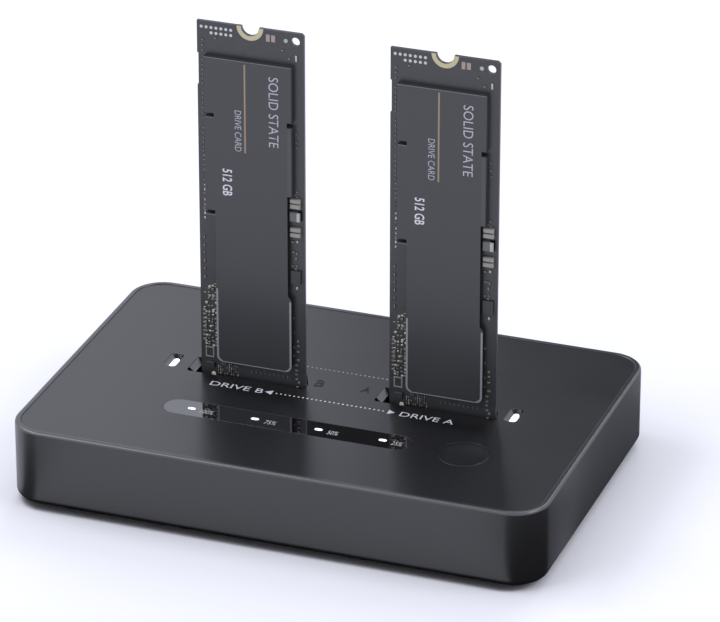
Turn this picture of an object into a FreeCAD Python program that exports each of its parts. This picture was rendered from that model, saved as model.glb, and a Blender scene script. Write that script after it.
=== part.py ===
import FreeCAD, Part
import math
import os
import re
import Sketcher

# Desktop dock that copies one plug-in drive card onto another.
# Origin: middle of the footprint, on the surface that the rubber feet stand on.
# +X runs to the right along the front, +Y to the back, +Z up. Lengths are in millimetres.

SIZES = {
    # housing
    "case_width": 109.4,
    "case_depth": 72.4,
    "case_height": 16.0,
    "corner_round": 7.0,
    "side_wall": 2.0,
    "rim_width": 1.2,
    "rim_round": 0.6,
    "skirt_round": 1.4,
    "foot_stand": 1.3,
    "boss_shift": 1.6,
    "boss_wide": 6.0,
    "boss_drop": 2.4,
    "rib_wide": 1.4,
    "rib_deep": 0.9,
    # top panel
    "panel_thick": 1.8,
    "panel_drop": 0.15,
    "panel_fit": 0.05,
    "panel_lip_deep": 1.6,
    "panel_lip_wall": 1.0,
    "panel_edge_cut": 0.1,
    # base plate
    "base_inset": 0.3,
    "base_thick": 1.8,
    "base_fit": 0.15,
    "standoff_high": 1.3,
    "standoff_wide": 5.0,
    "standoff_in_x": 11.5,
    "standoff_in_y": 13.5,
    "base_rib_high": 0.9,
    # feet and screws
    "foot_wide": 9.0,
    "foot_sink": 0.5,
    "foot_in_x": 22.0,
    "foot_in_y": 10.5,
    "screw_shank": 2.0,
    "screw_head": 3.5,
    "screw_head_high": 1.0,
    "foot_cut": 0.4,
    "thread_fit": 0.05,
    "head_fit": 0.2,
    "screw_end_gap": 0.4,
    "case_screw_long": 7.0,
    "board_screw_long": 3.6,
    "cross_wide": 1.8,
    "cross_slit": 0.45,
    "cross_deep": 0.6,
    # main board
    "board_thick": 1.6,
    "board_gap": 2.2,
    "boss_gap": 0.5,
    # drive cards
    "card_a_x": 23.05,
    "card_b_x": -16.55,
    "card_plane_y": 0.6,
    "card_wide": 22.0,
    "card_long": 80.0,
    "card_thick": 0.8,
    "card_seat_down": 4.55,
    "tab_in": 1.075,
    "tab_long": 4.0,
    "notch_wide": 1.2,
    "notch_deep": 3.5,
    "notch_m_x": 6.125,
    "notch_b_x": -5.625,
    "mount_hole": 3.6,
    "mount_ring": 5.5,
    "plating": 0.05,
    "tooling_hole": 1.75,
    "tooling_in_x": 1.7,
    "tooling_in_z": 1.75,
    "corner_clip": 0.5,
    "bite_deep": 0.25,
    "bite_long": 6.7,
    "package_high": 1.0,
    "label_thick": 0.3,
    "label_top_in": 6.8,
    "label_foot_in": 8.1,
    "label_left": -9.25,
    "label_right": 8.9,
    "waist_left": -7.15,
    "waist_left_down": 39.6,
    "waist_right": 7.75,
    "waist_right_down": 34.0,
    "flare_right": 8.1,
    "flare_down": 57.0,
    "label_corner": 1.3,
    "package_wide": 14.4,
    "package_step": 1.2,
    "memory_long": 18.0,
    "buffer_long": 7.5,
    "controller_long": 14.4,
    "small_in": 0.7,
    "choke_wide": 2.1,
    "choke_deep": 0.8,
    "choke_high": 0.9,
    "choke_down": 34.2,
    "choke_step": 1.3,
    "low_choke_down": 39.1,
    "square_coil_down": 36.5,
    "square_coil_high": 1.95,
    "square_coil_deep": 0.95,
    "chip_down": 49.6,
    "side_chip_long": 3.15,
    "foot_chip": 1.7,
    "foot_chip_in": 1.0,
    # card sockets
    "socket_drop": 0.75,
    "collar_gap": 0.25,
    "collar_back": 2.6,
    "block_over": 0.5,
    "block_front": 2.5,
    "block_behind": 0.2,
    "block_gap": 0.4,
    "card_fit": 0.075,
    "mouth_lip": 1.5,
    "channel_deep": 0.8,
    "spine": 0.6,
    "tail_gap": 0.45,
    "peg_wide": 1.1,
    "peg_long": 1.2,
    "peg_fit": 0.05,
    "contact_pitch": 0.5,
    "contact_wide": 0.22,
    "contact_thick": 0.22,
    "contact_reach": 1.4,
    "contact_gap": 0.05,
    "contact_top_gap": 0.3,
    # slots in the top panel
    "slot_left_gap": 1.8,
    "slot_right_gap": 0.2,
    "slot_front": 1.2,
    "slot_back": 5.2,
    "slot_corner": 0.8,
    "slope_wide": 1.2,
    "slope_deep": 0.95,
    "slot_edge_cut": 0.25,
    "shroud_wall": 0.9,
    "shroud_deep": 2.0,
    "shroud_fit": 0.15,
    # progress lights
    "strip_x": -3.45,
    "strip_from_front": 20.35,
    "strip_long": 51.4,
    "strip_wide": 6.1,
    "strip_deep": 1.0,
    "strip_fit": 0.05,
    "light_pitch": 13.25,
    "light_first_x": -23.35,
    "light_from_front": 20.4,
    "pill_long": 1.6,
    "pill_wide": 0.85,
    "pill_fit": 0.06,
    "guide_bar_wide": 3.0,
    "guide_bar_high": 1.5,
    "guide_bar_end": 2.5,
    "guide_leg": 2.2,
    "light_gap": 0.2,
    # status lights
    "status_b_gap": 5.2,
    "status_a_gap": 2.75,
    "status_y": 2.85,
    "window_wide": 3.15,
    "window_long": 5.9,
    "window_corner": 0.9,
    "window_slope": 0.75,
    "window_sink": 0.6,
    "lens_wide": 1.65,
    "lens_long": 4.3,
    "lens_gap": 0.1,
    "lens_flange": 0.8,
    "lens_flange_over": 0.4,
    # light packages on the board
    "led_wide": 1.6,
    "led_deep": 0.9,
    "led_high": 0.7,
    "led_dome": 1.0,
    # chips and passive parts on the board
    "chip_wide": 9.0,
    "chip_high": 0.9,
    "chip_bevel": 0.8,
    "chip_row_x": 14.0,
    "chip_row_y": 14.5,
    "crystal_long": 10.5,
    "crystal_wide": 4.2,
    "crystal_high": 3.2,
    "crystal_flange": 0.4,
    "can_base": 6.6,
    "can_base_high": 1.0,
    "can_cut": 1.3,
    "can_wide": 6.3,
    "can_high": 5.8,
    "can_shoulder": 0.5,
    "can_row_x": -4.0,
    "can_pitch": 8.0,
    "can_from_back": 10.0,
    "coil_wide": 7.0,
    "coil_high": 3.0,
    "coil_round": 0.8,
    "coil_cut": 0.5,
    "coil_from_side": 18.7,
    "coil_y": -14.0,
    "coil_pitch": 8.4,
    # clone key
    "key_from_right": 21.7,
    "key_from_front": 20.1,
    "key_wide": 10.0,
    "key_fit": 0.15,
    "key_dish": 0.6,
    "key_rim": 0.35,
    "key_flange": 12.2,
    "key_flange_high": 0.8,
    "key_play": 0.06,
    "key_stem": 4.2,
    "key_switch_wide": 6.2,
    "key_switch_high": 3.5,
    "plunger_wide": 3.5,
    "plunger_proud": 1.5,
    "plunger_sink": 0.9,
    "plunger_fit": 0.05,
    "key_travel": 0.5,
    # power button
    "button_from_side": 20.7,
    "button_wide": 5.6,
    "button_fit": 0.2,
    "button_proud": 1.4,
    "button_flange": 7.4,
    "button_flange_high": 0.9,
    "button_play": 0.1,
    "button_crown": 0.5,
    "button_travel": 1.2,
    "latch_wide": 7.2,
    "latch_deep": 9.0,
    "latch_back": 4.2,
    "latch_gap": 0.3,
    "latch_cut": 0.6,
    "rod_wide": 2.8,
    "rod_fit": 0.05,
    "rod_grip": 2.0,
    # data port
    "port_from_side": 42.7,
    "port_wide": 8.94,
    "port_high": 3.26,
    "port_wall": 0.3,
    "port_deep": 7.35,
    "port_cavity": 6.2,
    "port_inset": 0.3,
    "port_fit": 0.3,
    "port_dish": 0.5,
    "port_dish_over": 1.4,
    "tongue_wide": 6.69,
    "tongue_thick": 0.7,
    "tongue_long": 4.45,
    "tongue_root_wide": 7.4,
    "tongue_root_high": 1.6,
    "tongue_root_long": 1.1,
    # power jack
    "jack_from_side": 20.7,
    "jack_room": 0.45,
    "jack_deep": 11.6,
    "jack_nose_in": 0.4,
    "jack_wall": 0.75,
    "jack_bore_deep": 9.6,
    "jack_inset": 0.2,
    "jack_fit": 0.2,
    "jack_pin": 2.0,
    "jack_pin_long": 8.6,
    "jack_pin_tip": 0.5,
    "jack_pin_root": 3.2,
    "jack_pin_root_high": 0.5,
}

doc = FreeCAD.newDocument("card_dock")
sheet = doc.addObject("Spreadsheet::Sheet", "Sizes")
for row, (alias, value) in enumerate(SIZES.items(), 1):
    sheet.set("A%d" % row, alias)
    sheet.set("B%d" % row, str(value))
    sheet.setAlias("B%d" % row, alias)
doc.recompute()

# Heights and places that several pieces share, as formulas over the sheet.
CASE_TOP = "(foot_stand + case_height)"
PANEL_TOP = "(%s - panel_drop)" % CASE_TOP
PANEL_FLOOR = "(%s - panel_thick)" % PANEL_TOP
BASE_FLOOR = "(foot_stand + base_inset)"
BASE_TOP = "(%s + base_thick)" % BASE_FLOOR
BOARD_FLOOR = "(%s + standoff_high)" % BASE_TOP
BOARD_TOP = "(%s + board_thick)" % BOARD_FLOOR
INNER_WIDTH = "(case_width - 2 * side_wall)"
INNER_DEPTH = "(case_depth - 2 * side_wall)"
INNER_ROUND = "(corner_round - side_wall)"
FRONT = "(-case_depth / 2)"
BACK = "(case_depth / 2)"
INNER_BACK = "(%s - side_wall)" % BACK
BOSS_X = "(case_width / 2 - corner_round + boss_shift)"
BOSS_Y = "(case_depth / 2 - corner_round + boss_shift)"
STANDOFF_X = "(case_width / 2 - standoff_in_x)"
STANDOFF_Y = "(case_depth / 2 - standoff_in_y)"
FOOT_X = "(case_width / 2 - foot_in_x)"
FOOT_Y = "(case_depth / 2 - foot_in_y)"
STRIP_Y = "(%s + strip_from_front)" % FRONT
LIGHT_Y = "(%s + light_from_front)" % FRONT
KEY_X = "(case_width / 2 - key_from_right)"
KEY_Y = "(%s + key_from_front)" % FRONT
LED_TOP = "(%s + led_high)" % BOARD_TOP
COIL_X = "(coil_from_side - case_width / 2)"
BUTTON_X = "(button_from_side - case_width / 2)"
PORT_X = "(case_width / 2 - port_from_side)"
JACK_X = "(case_width / 2 - jack_from_side)"
PORT_Z = "(%s + port_high / 2)" % BOARD_TOP
# The jack fills the room between board and panel.
JACK_WIDE = "(%s - jack_room - %s)" % (PANEL_FLOOR, BOARD_TOP)
JACK_NOSE = "(%s - 2 * jack_nose_in)" % JACK_WIDE
JACK_Z = "(%s + %s / 2)" % (BOARD_TOP, JACK_WIDE)
BUTTON_Z = "(%s + latch_wide / 2)" % BOARD_TOP
SWITCH_TOP = "(%s + key_switch_high)" % BOARD_TOP
TAB_WIDE = "(card_wide - 2 * tab_in)"
CARD_SEAT = "(%s - card_seat_down)" % PANEL_TOP
SLOT_LEFT = "(card_wide / 2 + slot_left_gap)"
SLOT_RIGHT = "(card_wide / 2 + slot_right_gap)"
SOCKET_TOP = "(%s - socket_drop)" % PANEL_TOP
BLOCK_WIDE = "(card_wide + 2 * block_over)"
BLOCK_BACK = "(slot_back + block_behind)"
PEG_X = "((%s - peg_wide) / 2 - peg_fit)" % BLOCK_WIDE
# A status lens stands beside the foot of its window's slope.
LENS_SHIFT = "(window_slope + lens_gap + (lens_wide - window_wide) / 2)"
LIGHT_COUNT = 4
CORNERS = [(sx, sy) for sy in (-1, 1) for sx in (-1, 1)]
NEAR = 0.1
# Card side: (middle of the card, middle of its status window).
CARDS = {"a": ("card_a_x", "(card_a_x + %s + status_a_gap)" % SLOT_RIGHT),
         "b": ("card_b_x", "(card_b_x - %s - status_b_gap)" % SLOT_LEFT)}


def bound(text):
    """A formula over the sheet's names, as FreeCAD reads it."""
    return re.sub(r"[a-z_]\w*", lambda word: "Sizes." + word.group(), str(text))


def size(text):
    """The present value of such a formula."""
    return float(sheet.evalExpression(bound(text)))


# ---- sketches and features -------------------------------------------------------------

def new_body(label):
    body = doc.addObject("PartDesign::Body", label)
    body.Label = label
    return body


def place(thing, across="0", back="0", up="0"):
    for axis, text in (("x", across), ("y", back), ("z", up)):
        thing.setExpression("Placement.Base." + axis, bound(text))
    return thing


def new_sketch(body, height="0", plane="XY_Plane"):
    """A sketch on one of the body's own planes, lifted along that plane's normal."""
    sketch = body.newObject("Sketcher::SketchObject", body.Label + "_sketch")
    base = next(f for f in body.Origin.OriginFeatures if f.Role == plane)
    sketch.AttachmentSupport = [(base, "")]
    sketch.MapMode = "FlatFace"
    sketch.setExpression("AttachmentOffset.Base.z", bound(height))
    return sketch


def pin_point(sketch, geometry, end, across, up):
    """Hold one point of the sketch at its distances from the sketch's origin."""
    for kind, text in (("DistanceX", across), ("DistanceY", up)):
        if text is None:
            continue
        rule = Sketcher.Constraint(kind, -1, 1, geometry, end, size(text))
        number = sketch.addConstraint(rule)
        sketch.setExpression("Constraints[%d]" % number, bound(text))


def hold_radius(sketch, geometry, text):
    number = sketch.addConstraint(Sketcher.Constraint("Radius", geometry, size(text)))
    sketch.setExpression("Constraints[%d]" % number, bound(text))


def outline(sketch, points, bows=()):
    """A closed outline through the given (across, up) formulas.

    Edges are straight, except those numbered in bows, which give {edge: (radius, hand)}:
    an arc whose centre lies to the left (hand 1) or to the right (hand -1) of its travel.
    """
    first = len(sketch.Geometry)
    count = len(points)
    spots = [FreeCAD.Vector(size(a), size(b), 0) for a, b in points]
    ends = []
    for index in range(count):
        start, finish = spots[index], spots[(index + 1) % count]
        if index not in bows:
            sketch.addGeometry(Part.LineSegment(start, finish), False)
            ends.append((1, 2))
            continue
        radius, hand = size(bows[index][0]), bows[index][1]
        chord = finish - start
        rise = math.sqrt(radius ** 2 - (chord.Length / 2) ** 2) * hand
        centre = start + chord * 0.5 + FreeCAD.Vector(-chord.y, chord.x, 0) * (rise / chord.Length)
        turns = [math.atan2(p.y - centre.y, p.x - centre.x) for p in (start, finish)[::hand]]
        ring = Part.Circle(centre, FreeCAD.Vector(0, 0, 1), radius)
        sketch.addGeometry(Part.ArcOfCircle(ring, turns[0], turns[1]), False)
        ends.append((1, 2)[::hand])
    for index in range(count):
        following = (index + 1) % count
        sketch.addConstraint(Sketcher.Constraint("Coincident", first + index, ends[index][1],
                                                 first + following, ends[following][0]))
    for index, (across, up) in enumerate(points):
        pin_point(sketch, first + index, ends[index][0], across, up)
        if index in bows:
            hold_radius(sketch, first + index, bows[index][0])


def rectangle(sketch, wide, high, across="0", up="0"):
    left, right = "(%s) - (%s) / 2" % (across, wide), "(%s) + (%s) / 2" % (across, wide)
    low, top = "(%s) - (%s) / 2" % (up, high), "(%s) + (%s) / 2" % (up, high)
    outline(sketch, [(left, low), (right, low), (right, top), (left, top)])


def round_rectangle(sketch, wide, high, radius, across="0", up="0"):
    """Four sides joined by four equal tangent arcs."""
    w, d, r, x, y = [size(text) for text in (wide, high, radius, across, up)]
    x0, x1, y0, y1 = x - w / 2, x + w / 2, y - d / 2, y + d / 2
    first = len(sketch.Geometry)
    corners = [(x0 + r, y0), (x1 - r, y0), (x1, y0 + r), (x1, y1 - r),
               (x1 - r, y1), (x0 + r, y1), (x0, y1 - r), (x0, y0 + r)]
    ends = [FreeCAD.Vector(a, b, 0) for a, b in corners]
    for side in range(4):
        sketch.addGeometry(Part.LineSegment(ends[2 * side], ends[2 * side + 1]), False)
    centres = [(x1 - r, y0 + r), (x1 - r, y1 - r), (x0 + r, y1 - r), (x0 + r, y0 + r)]
    for corner, (a, b) in enumerate(centres):
        start = (corner - 1) * math.pi / 2
        ring = Part.Circle(FreeCAD.Vector(a, b, 0), FreeCAD.Vector(0, 0, 1), r)
        sketch.addGeometry(Part.ArcOfCircle(ring, start, start + math.pi / 2), False)
    for side in range(4):
        arc = first + 4 + side
        following = first + (side + 1) % 4
        level = "Horizontal" if side % 2 == 0 else "Vertical"
        sketch.addConstraint(Sketcher.Constraint("Tangent", first + side, 2, arc, 1))
        sketch.addConstraint(Sketcher.Constraint("Tangent", arc, 2, following, 1))
        sketch.addConstraint(Sketcher.Constraint(level, first + side))
    for arc in range(first + 5, first + 8):
        sketch.addConstraint(Sketcher.Constraint("Equal", first + 4, arc))
    hold_radius(sketch, first + 4, radius)
    pin_point(sketch, first + 3, 1, "(%s) - (%s) / 2" % (across, wide), None)
    pin_point(sketch, first + 1, 1, "(%s) + (%s) / 2" % (across, wide), None)
    pin_point(sketch, first, 1, None, "(%s) - (%s) / 2" % (up, high))
    pin_point(sketch, first + 2, 1, None, "(%s) + (%s) / 2" % (up, high))


def pill(sketch, long, wide, across="0", up="0", upright=False):
    """Two parallel sides closed by two half circles; long is the length over all."""
    half = (size(long) - size(wide)) / 2
    r = size(wide) / 2
    x, y = size(across), size(up)
    first = len(sketch.Geometry)
    turn = math.pi / 2 if upright else 0

    def spot(a, b):
        c, s = math.cos(turn), math.sin(turn)
        return FreeCAD.Vector(x + a * c - b * s, y + a * s + b * c, 0)

    sketch.addGeometry(Part.LineSegment(spot(-half, -r), spot(half, -r)), False)
    sketch.addGeometry(Part.LineSegment(spot(half, r), spot(-half, r)), False)
    for sign in (1, -1):
        start = turn - sign * math.pi / 2
        ring = Part.Circle(spot(sign * half, 0), FreeCAD.Vector(0, 0, 1), r)
        sketch.addGeometry(Part.ArcOfCircle(ring, start, start + math.pi), False)
    joins = [(first, 2, first + 2, 1), (first + 2, 2, first + 1, 1),
             (first + 1, 2, first + 3, 1), (first + 3, 2, first, 1)]
    for one, one_end, other, other_end in joins:
        sketch.addConstraint(Sketcher.Constraint("Tangent", one, one_end, other, other_end))
    sketch.addConstraint(Sketcher.Constraint("Vertical" if upright else "Horizontal", first))
    hold_radius(sketch, first + 2, "(%s) / 2" % wide)
    reach = "((%s) - (%s)) / 2" % (long, wide)
    for geometry, sign in ((first + 2, "+"), (first + 3, "-")):
        along = "(%s) %s %s" % (up if upright else across, sign, reach)
        if upright:
            pin_point(sketch, geometry, 3, across if sign == "+" else None, along)
        else:
            pin_point(sketch, geometry, 3, along, up if sign == "+" else None)


def circle(sketch, wide, across="0", up="0"):
    centre = FreeCAD.Vector(size(across), size(up), 0)
    number = sketch.addGeometry(Part.Circle(centre, FreeCAD.Vector(0, 0, 1), size(wide) / 2), False)
    hold_radius(sketch, number, "(%s) / 2" % wide)
    pin_point(sketch, number, 3, across, up)


def pad(body, sketch, length, down=False, middle=False):
    feature = body.newObject("PartDesign::Pad", body.Label + "_pad")
    feature.Profile = sketch
    feature.Reversed = down
    feature.Midplane = middle
    feature.setExpression("Length", bound(length))
    return feature


def pocket(body, sketch, depth, along_normal=False, middle=False):
    """Cut against the sketch's normal, or along it, and make sure that it cuts."""
    doc.recompute()
    before = body.Shape.Volume
    feature = body.newObject("PartDesign::Pocket", body.Label + "_pocket")
    feature.Profile = sketch
    feature.Reversed = along_normal
    feature.Midplane = middle
    feature.setExpression("Length", bound(depth))
    doc.recompute()
    if body.Shape.Volume >= before:
        raise RuntimeError(body.Label + ": a pocket cuts nothing")
    return feature


def revolve(body, sketch):
    feature = body.newObject("PartDesign::Revolution", body.Label + "_turn")
    feature.Profile = sketch
    feature.ReferenceAxis = (sketch, ["V_Axis"])
    feature.Angle = 360
    return feature


def dress(body, kind, reach, wanted):
    """Round or chamfer every edge of the body's tip for which wanted(edge) is true."""
    doc.recompute()
    tip = body.Tip
    picks = ["Edge%d" % (n + 1) for n, edge in enumerate(tip.Shape.Edges) if wanted(edge)]
    if not picks:
        raise RuntimeError(body.Label + ": no edge to dress")
    feature = body.newObject("PartDesign::" + kind, body.Label + "_" + kind.lower())
    feature.Base = (tip, picks)
    feature.setExpression("Radius" if kind == "Fillet" else "Size", bound(reach))
    doc.recompute()
    return feature


def at_height(height, within=None):
    """Edges that lie flat at a height, inside a (x0, x1, y0, y1) window when one is given."""
    level = size(height)

    def test(edge):
        box = edge.BoundBox
        if abs(box.ZMin - level) > 1e-4 or abs(box.ZMax - level) > 1e-4:
            return False
        if within is None:
            return True
        x0, x1, y0, y1 = within
        return box.XMin > x0 and box.XMax < x1 and box.YMin > y0 and box.YMax < y1
    return test


def around(height, wide, deep):
    """Edges at a height that belong to the outline of that width and depth."""
    level, half_w, half_d = size(height), size(wide) / 2, size(deep) / 2
    corner = size("corner_round")

    def test(edge):
        box = edge.BoundBox
        if abs(box.ZMin - level) > 1e-4 or abs(box.ZMax - level) > 1e-4:
            return False
        middle = edge.valueAt((edge.FirstParameter + edge.LastParameter) / 2)
        near_x = abs(abs(middle.x) - half_w) < 1e-3
        near_y = abs(abs(middle.y) - half_d) < 1e-3
        at_corner = abs(middle.x) > half_w - corner and abs(middle.y) > half_d - corner
        reach = math.hypot(half_w - abs(middle.x), half_d - abs(middle.y))
        return near_x or near_y or (at_corner and reach < 0.45 * corner)
    return test


def upright(edge):
    box = edge.BoundBox
    return box.ZLength > 1e-3 and box.XLength < 1e-3 and box.YLength < 1e-3


def lengthwise(edge):
    box = edge.BoundBox
    return box.YLength > 1e-3 and box.XLength < 1e-3 and box.ZLength < 1e-3


def group(label, things):
    """Like pieces that lie apart, kept together as one node of separate solids."""
    together = doc.addObject("Part::Compound", label)
    together.Label = label
    together.Links = things
    return together


def block(label, wide, deep, high, across="0", back="0", up="0", centred=True):
    """A plain box bound to the sheet; centred in X and Y on the given place."""
    box = doc.addObject("Part::Box", label)
    for prop, text in (("Length", wide), ("Width", deep), ("Height", high)):
        box.setExpression(prop, bound(text))
    if centred:
        across = "(%s) - (%s) / 2" % (across, wide)
        back = "(%s) - (%s) / 2" % (back, deep)
    return place(box, across, back, up)


# ---- housing frame: moulded wall ring that takes the panel above and the plate below ----

def housing_frame():
    body = new_body("housing_frame")
    sketch = new_sketch(body, "foot_stand")
    round_rectangle(sketch, "case_width", "case_depth", "corner_round")
    pad(body, sketch, "case_height")
    sketch = new_sketch(body, CASE_TOP)
    round_rectangle(sketch, INNER_WIDTH, INNER_DEPTH, INNER_ROUND)
    pocket(body, sketch, "case_height")
    sketch = new_sketch(body, CASE_TOP)
    round_rectangle(sketch, "case_width - 2 * rim_width", "case_depth - 2 * rim_width",
                    "corner_round - rim_width")
    pocket(body, sketch, "panel_drop + panel_thick")
    # The rounds go on while the ring is plain; rim and skirt keep the same outline.
    dress(body, "Fillet", "rim_round", around(CASE_TOP, "case_width", "case_depth"))
    dress(body, "Fillet", "skirt_round", around("foot_stand", "case_width", "case_depth"))
    # Corner bosses run into the wall and end clear of the panel's lip.
    boss_high = "(%s - boss_drop - %s)" % (PANEL_FLOOR, BASE_TOP)
    for sx, sy in CORNERS:
        sketch = new_sketch(body, BASE_TOP)
        circle(sketch, "boss_wide", "%d * %s" % (sx, BOSS_X), "%d * %s" % (sy, BOSS_Y))
        pad(body, sketch, boss_high)
    sketch = new_sketch(body, BASE_TOP)
    for sx, sy in CORNERS:
        circle(sketch, "screw_shank + 2 * thread_fit", "%d * %s" % (sx, BOSS_X),
               "%d * %s" % (sy, BOSS_Y))
    pocket(body, sketch, "case_screw_long", along_normal=True)
    # Short ribs on the long and short walls rest on the base plate.
    for sx, sy in CORNERS:
        sketch = new_sketch(body, BASE_TOP)
        rectangle(sketch, "rib_wide", "2 * rib_deep", "%d * case_width / 5" % sx,
                  "%d * (%s / 2)" % (sy, INNER_DEPTH))
        pad(body, sketch, boss_high)
    rear_openings(body)
    return body


def rear_openings(body):
    """Holes in the back wall for the data port, the power jack and the power button."""
    behind = "-case_depth / 2"
    sketch = new_sketch(body, behind, "XZ_Plane")
    pill(sketch, "port_wide + 2 * port_fit", "port_high + 2 * port_fit", PORT_X, PORT_Z)
    circle(sketch, "%s + 2 * jack_fit" % JACK_NOSE, JACK_X, JACK_Z)
    circle(sketch, "button_wide + 2 * button_fit", BUTTON_X, BUTTON_Z)
    pocket(body, sketch, "side_wall", along_normal=True)
    sketch = new_sketch(body, behind, "XZ_Plane")
    pill(sketch, "port_wide + 2 * port_dish_over", "port_high + 2 * port_dish_over",
         PORT_X, PORT_Z)
    pocket(body, sketch, "port_dish", along_normal=True)


# ---- top panel: moulded plate with the card slots, light windows and key hole -----------

def top_panel():
    body = new_body("top_panel")
    wide = "(case_width - 2 * rim_width - 2 * panel_fit)"
    deep = "(case_depth - 2 * rim_width - 2 * panel_fit)"
    sketch = new_sketch(body, PANEL_FLOOR)
    round_rectangle(sketch, wide, deep, "corner_round - rim_width - panel_fit")
    pad(body, sketch, "panel_thick")
    dress(body, "Chamfer", "panel_edge_cut", at_height(PANEL_TOP))
    # Locating lip that drops inside the wall ring.
    sketch = new_sketch(body, PANEL_FLOOR)
    lip_wide, lip_deep = "(%s - 2 * panel_fit)" % INNER_WIDTH, "(%s - 2 * panel_fit)" % INNER_DEPTH
    lip_round = "(%s - panel_fit)" % INNER_ROUND
    round_rectangle(sketch, lip_wide, lip_deep, lip_round)
    round_rectangle(sketch, "%s - 2 * panel_lip_wall" % lip_wide,
                    "%s - 2 * panel_lip_wall" % lip_deep, "%s - panel_lip_wall" % lip_round)
    pad(body, sketch, "panel_lip_deep", down=True)
    # Two ribs along each socket hold it upright.
    sketch = new_sketch(body, PANEL_FLOOR)
    for centre, _ in CARDS.values():
        for face in ("- block_front - shroud_fit - shroud_wall / 2",
                     "+ %s + shroud_fit + shroud_wall / 2" % BLOCK_BACK):
            rectangle(sketch, BLOCK_WIDE, "shroud_wall", centre, "card_plane_y %s" % face)
    pad(body, sketch, "shroud_deep", down=True)
    # The lip is cut away over the power jack and the power button.
    sketch = new_sketch(body, PANEL_FLOOR)
    rectangle(sketch, "%s + 4 * jack_fit" % JACK_WIDE, "4 * panel_lip_wall", JACK_X, INNER_BACK)
    rectangle(sketch, "button_flange + 4 * button_fit", "4 * panel_lip_wall", BUTTON_X, INNER_BACK)
    pocket(body, sketch, "panel_lip_deep")
    card_slots(body)
    # Status windows, key hole and the holes that pass the progress light posts.
    sketch = new_sketch(body, PANEL_TOP)
    for _, window in CARDS.values():
        round_rectangle(sketch, "window_wide - window_slope", "window_long", "window_corner",
                        "%s + window_slope / 2" % window, "status_y")
    circle(sketch, "key_wide + 2 * key_fit", KEY_X, KEY_Y)
    for number in range(LIGHT_COUNT):
        pill(sketch, "pill_long + 2 * pill_fit", "pill_wide + 2 * pill_fit",
             "light_first_x + %d * light_pitch" % number, LIGHT_Y)
    pocket(body, sketch, "panel_thick")
    for _, window in CARDS.values():
        sloped_end(body, "(%s - window_wide / 2 + window_slope)" % window, "status_y",
                   "window_long - window_corner", "window_slope", "window_sink", "window_corner")
    sketch = new_sketch(body, PANEL_TOP)
    pill(sketch, "strip_long", "strip_wide", "strip_x", STRIP_Y)
    pocket(body, sketch, "strip_deep")
    key_x, key_y, reach = size(KEY_X), size(KEY_Y), size("key_wide / 2 + key_fit") + NEAR
    window = (key_x - reach, key_x + reach, key_y - reach, key_y + reach)
    dress(body, "Chamfer", "slot_edge_cut", at_height(PANEL_TOP, window))
    return body


def sloped_end(body, end, middle_y, long, wide, drop, reach):
    """Cut a wedge beyond an opening's left end, from the panel's face down to a depth."""
    sketch = new_sketch(body, "-(%s)" % middle_y, "XZ_Plane")
    low = "%s - %s" % (PANEL_TOP, drop)
    outline(sketch, [("%s - %s" % (end, wide), PANEL_TOP), ("%s + %s" % (end, reach), PANEL_TOP),
                     ("%s + %s" % (end, reach), low), (end, low)])
    pocket(body, sketch, long, middle=True)


def card_slots(body):
    """Long slots with a sloped finger end, so that a card finds its socket."""
    long = "(%s + %s)" % (SLOT_LEFT, SLOT_RIGHT)
    deep = "(slot_front + slot_back)"
    middle_y = "(card_plane_y + (slot_back - slot_front) / 2)"
    sketch = new_sketch(body, PANEL_TOP)
    for centre, _ in CARDS.values():
        round_rectangle(sketch, long, deep, "slot_corner",
                        "%s + (%s - %s) / 2" % (centre, SLOT_RIGHT, SLOT_LEFT), middle_y)
    pocket(body, sketch, "panel_thick")
    for centre, _ in CARDS.values():
        x, y = size(centre), size(middle_y)
        window = (x - size(SLOT_LEFT) - NEAR, x + size(SLOT_RIGHT) + NEAR,
                  y - size(deep) / 2 - NEAR, y + size(deep) / 2 + NEAR)
        dress(body, "Chamfer", "slot_edge_cut", at_height(PANEL_TOP, window))
        sloped_end(body, "(%s - %s)" % (centre, SLOT_LEFT), middle_y, "%s - 2 * slot_edge_cut" % deep,
                   "slope_wide", "slope_deep", "slot_corner")


# ---- base plate: flat cover with board standoffs, screw wells and foot seats -------------

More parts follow.
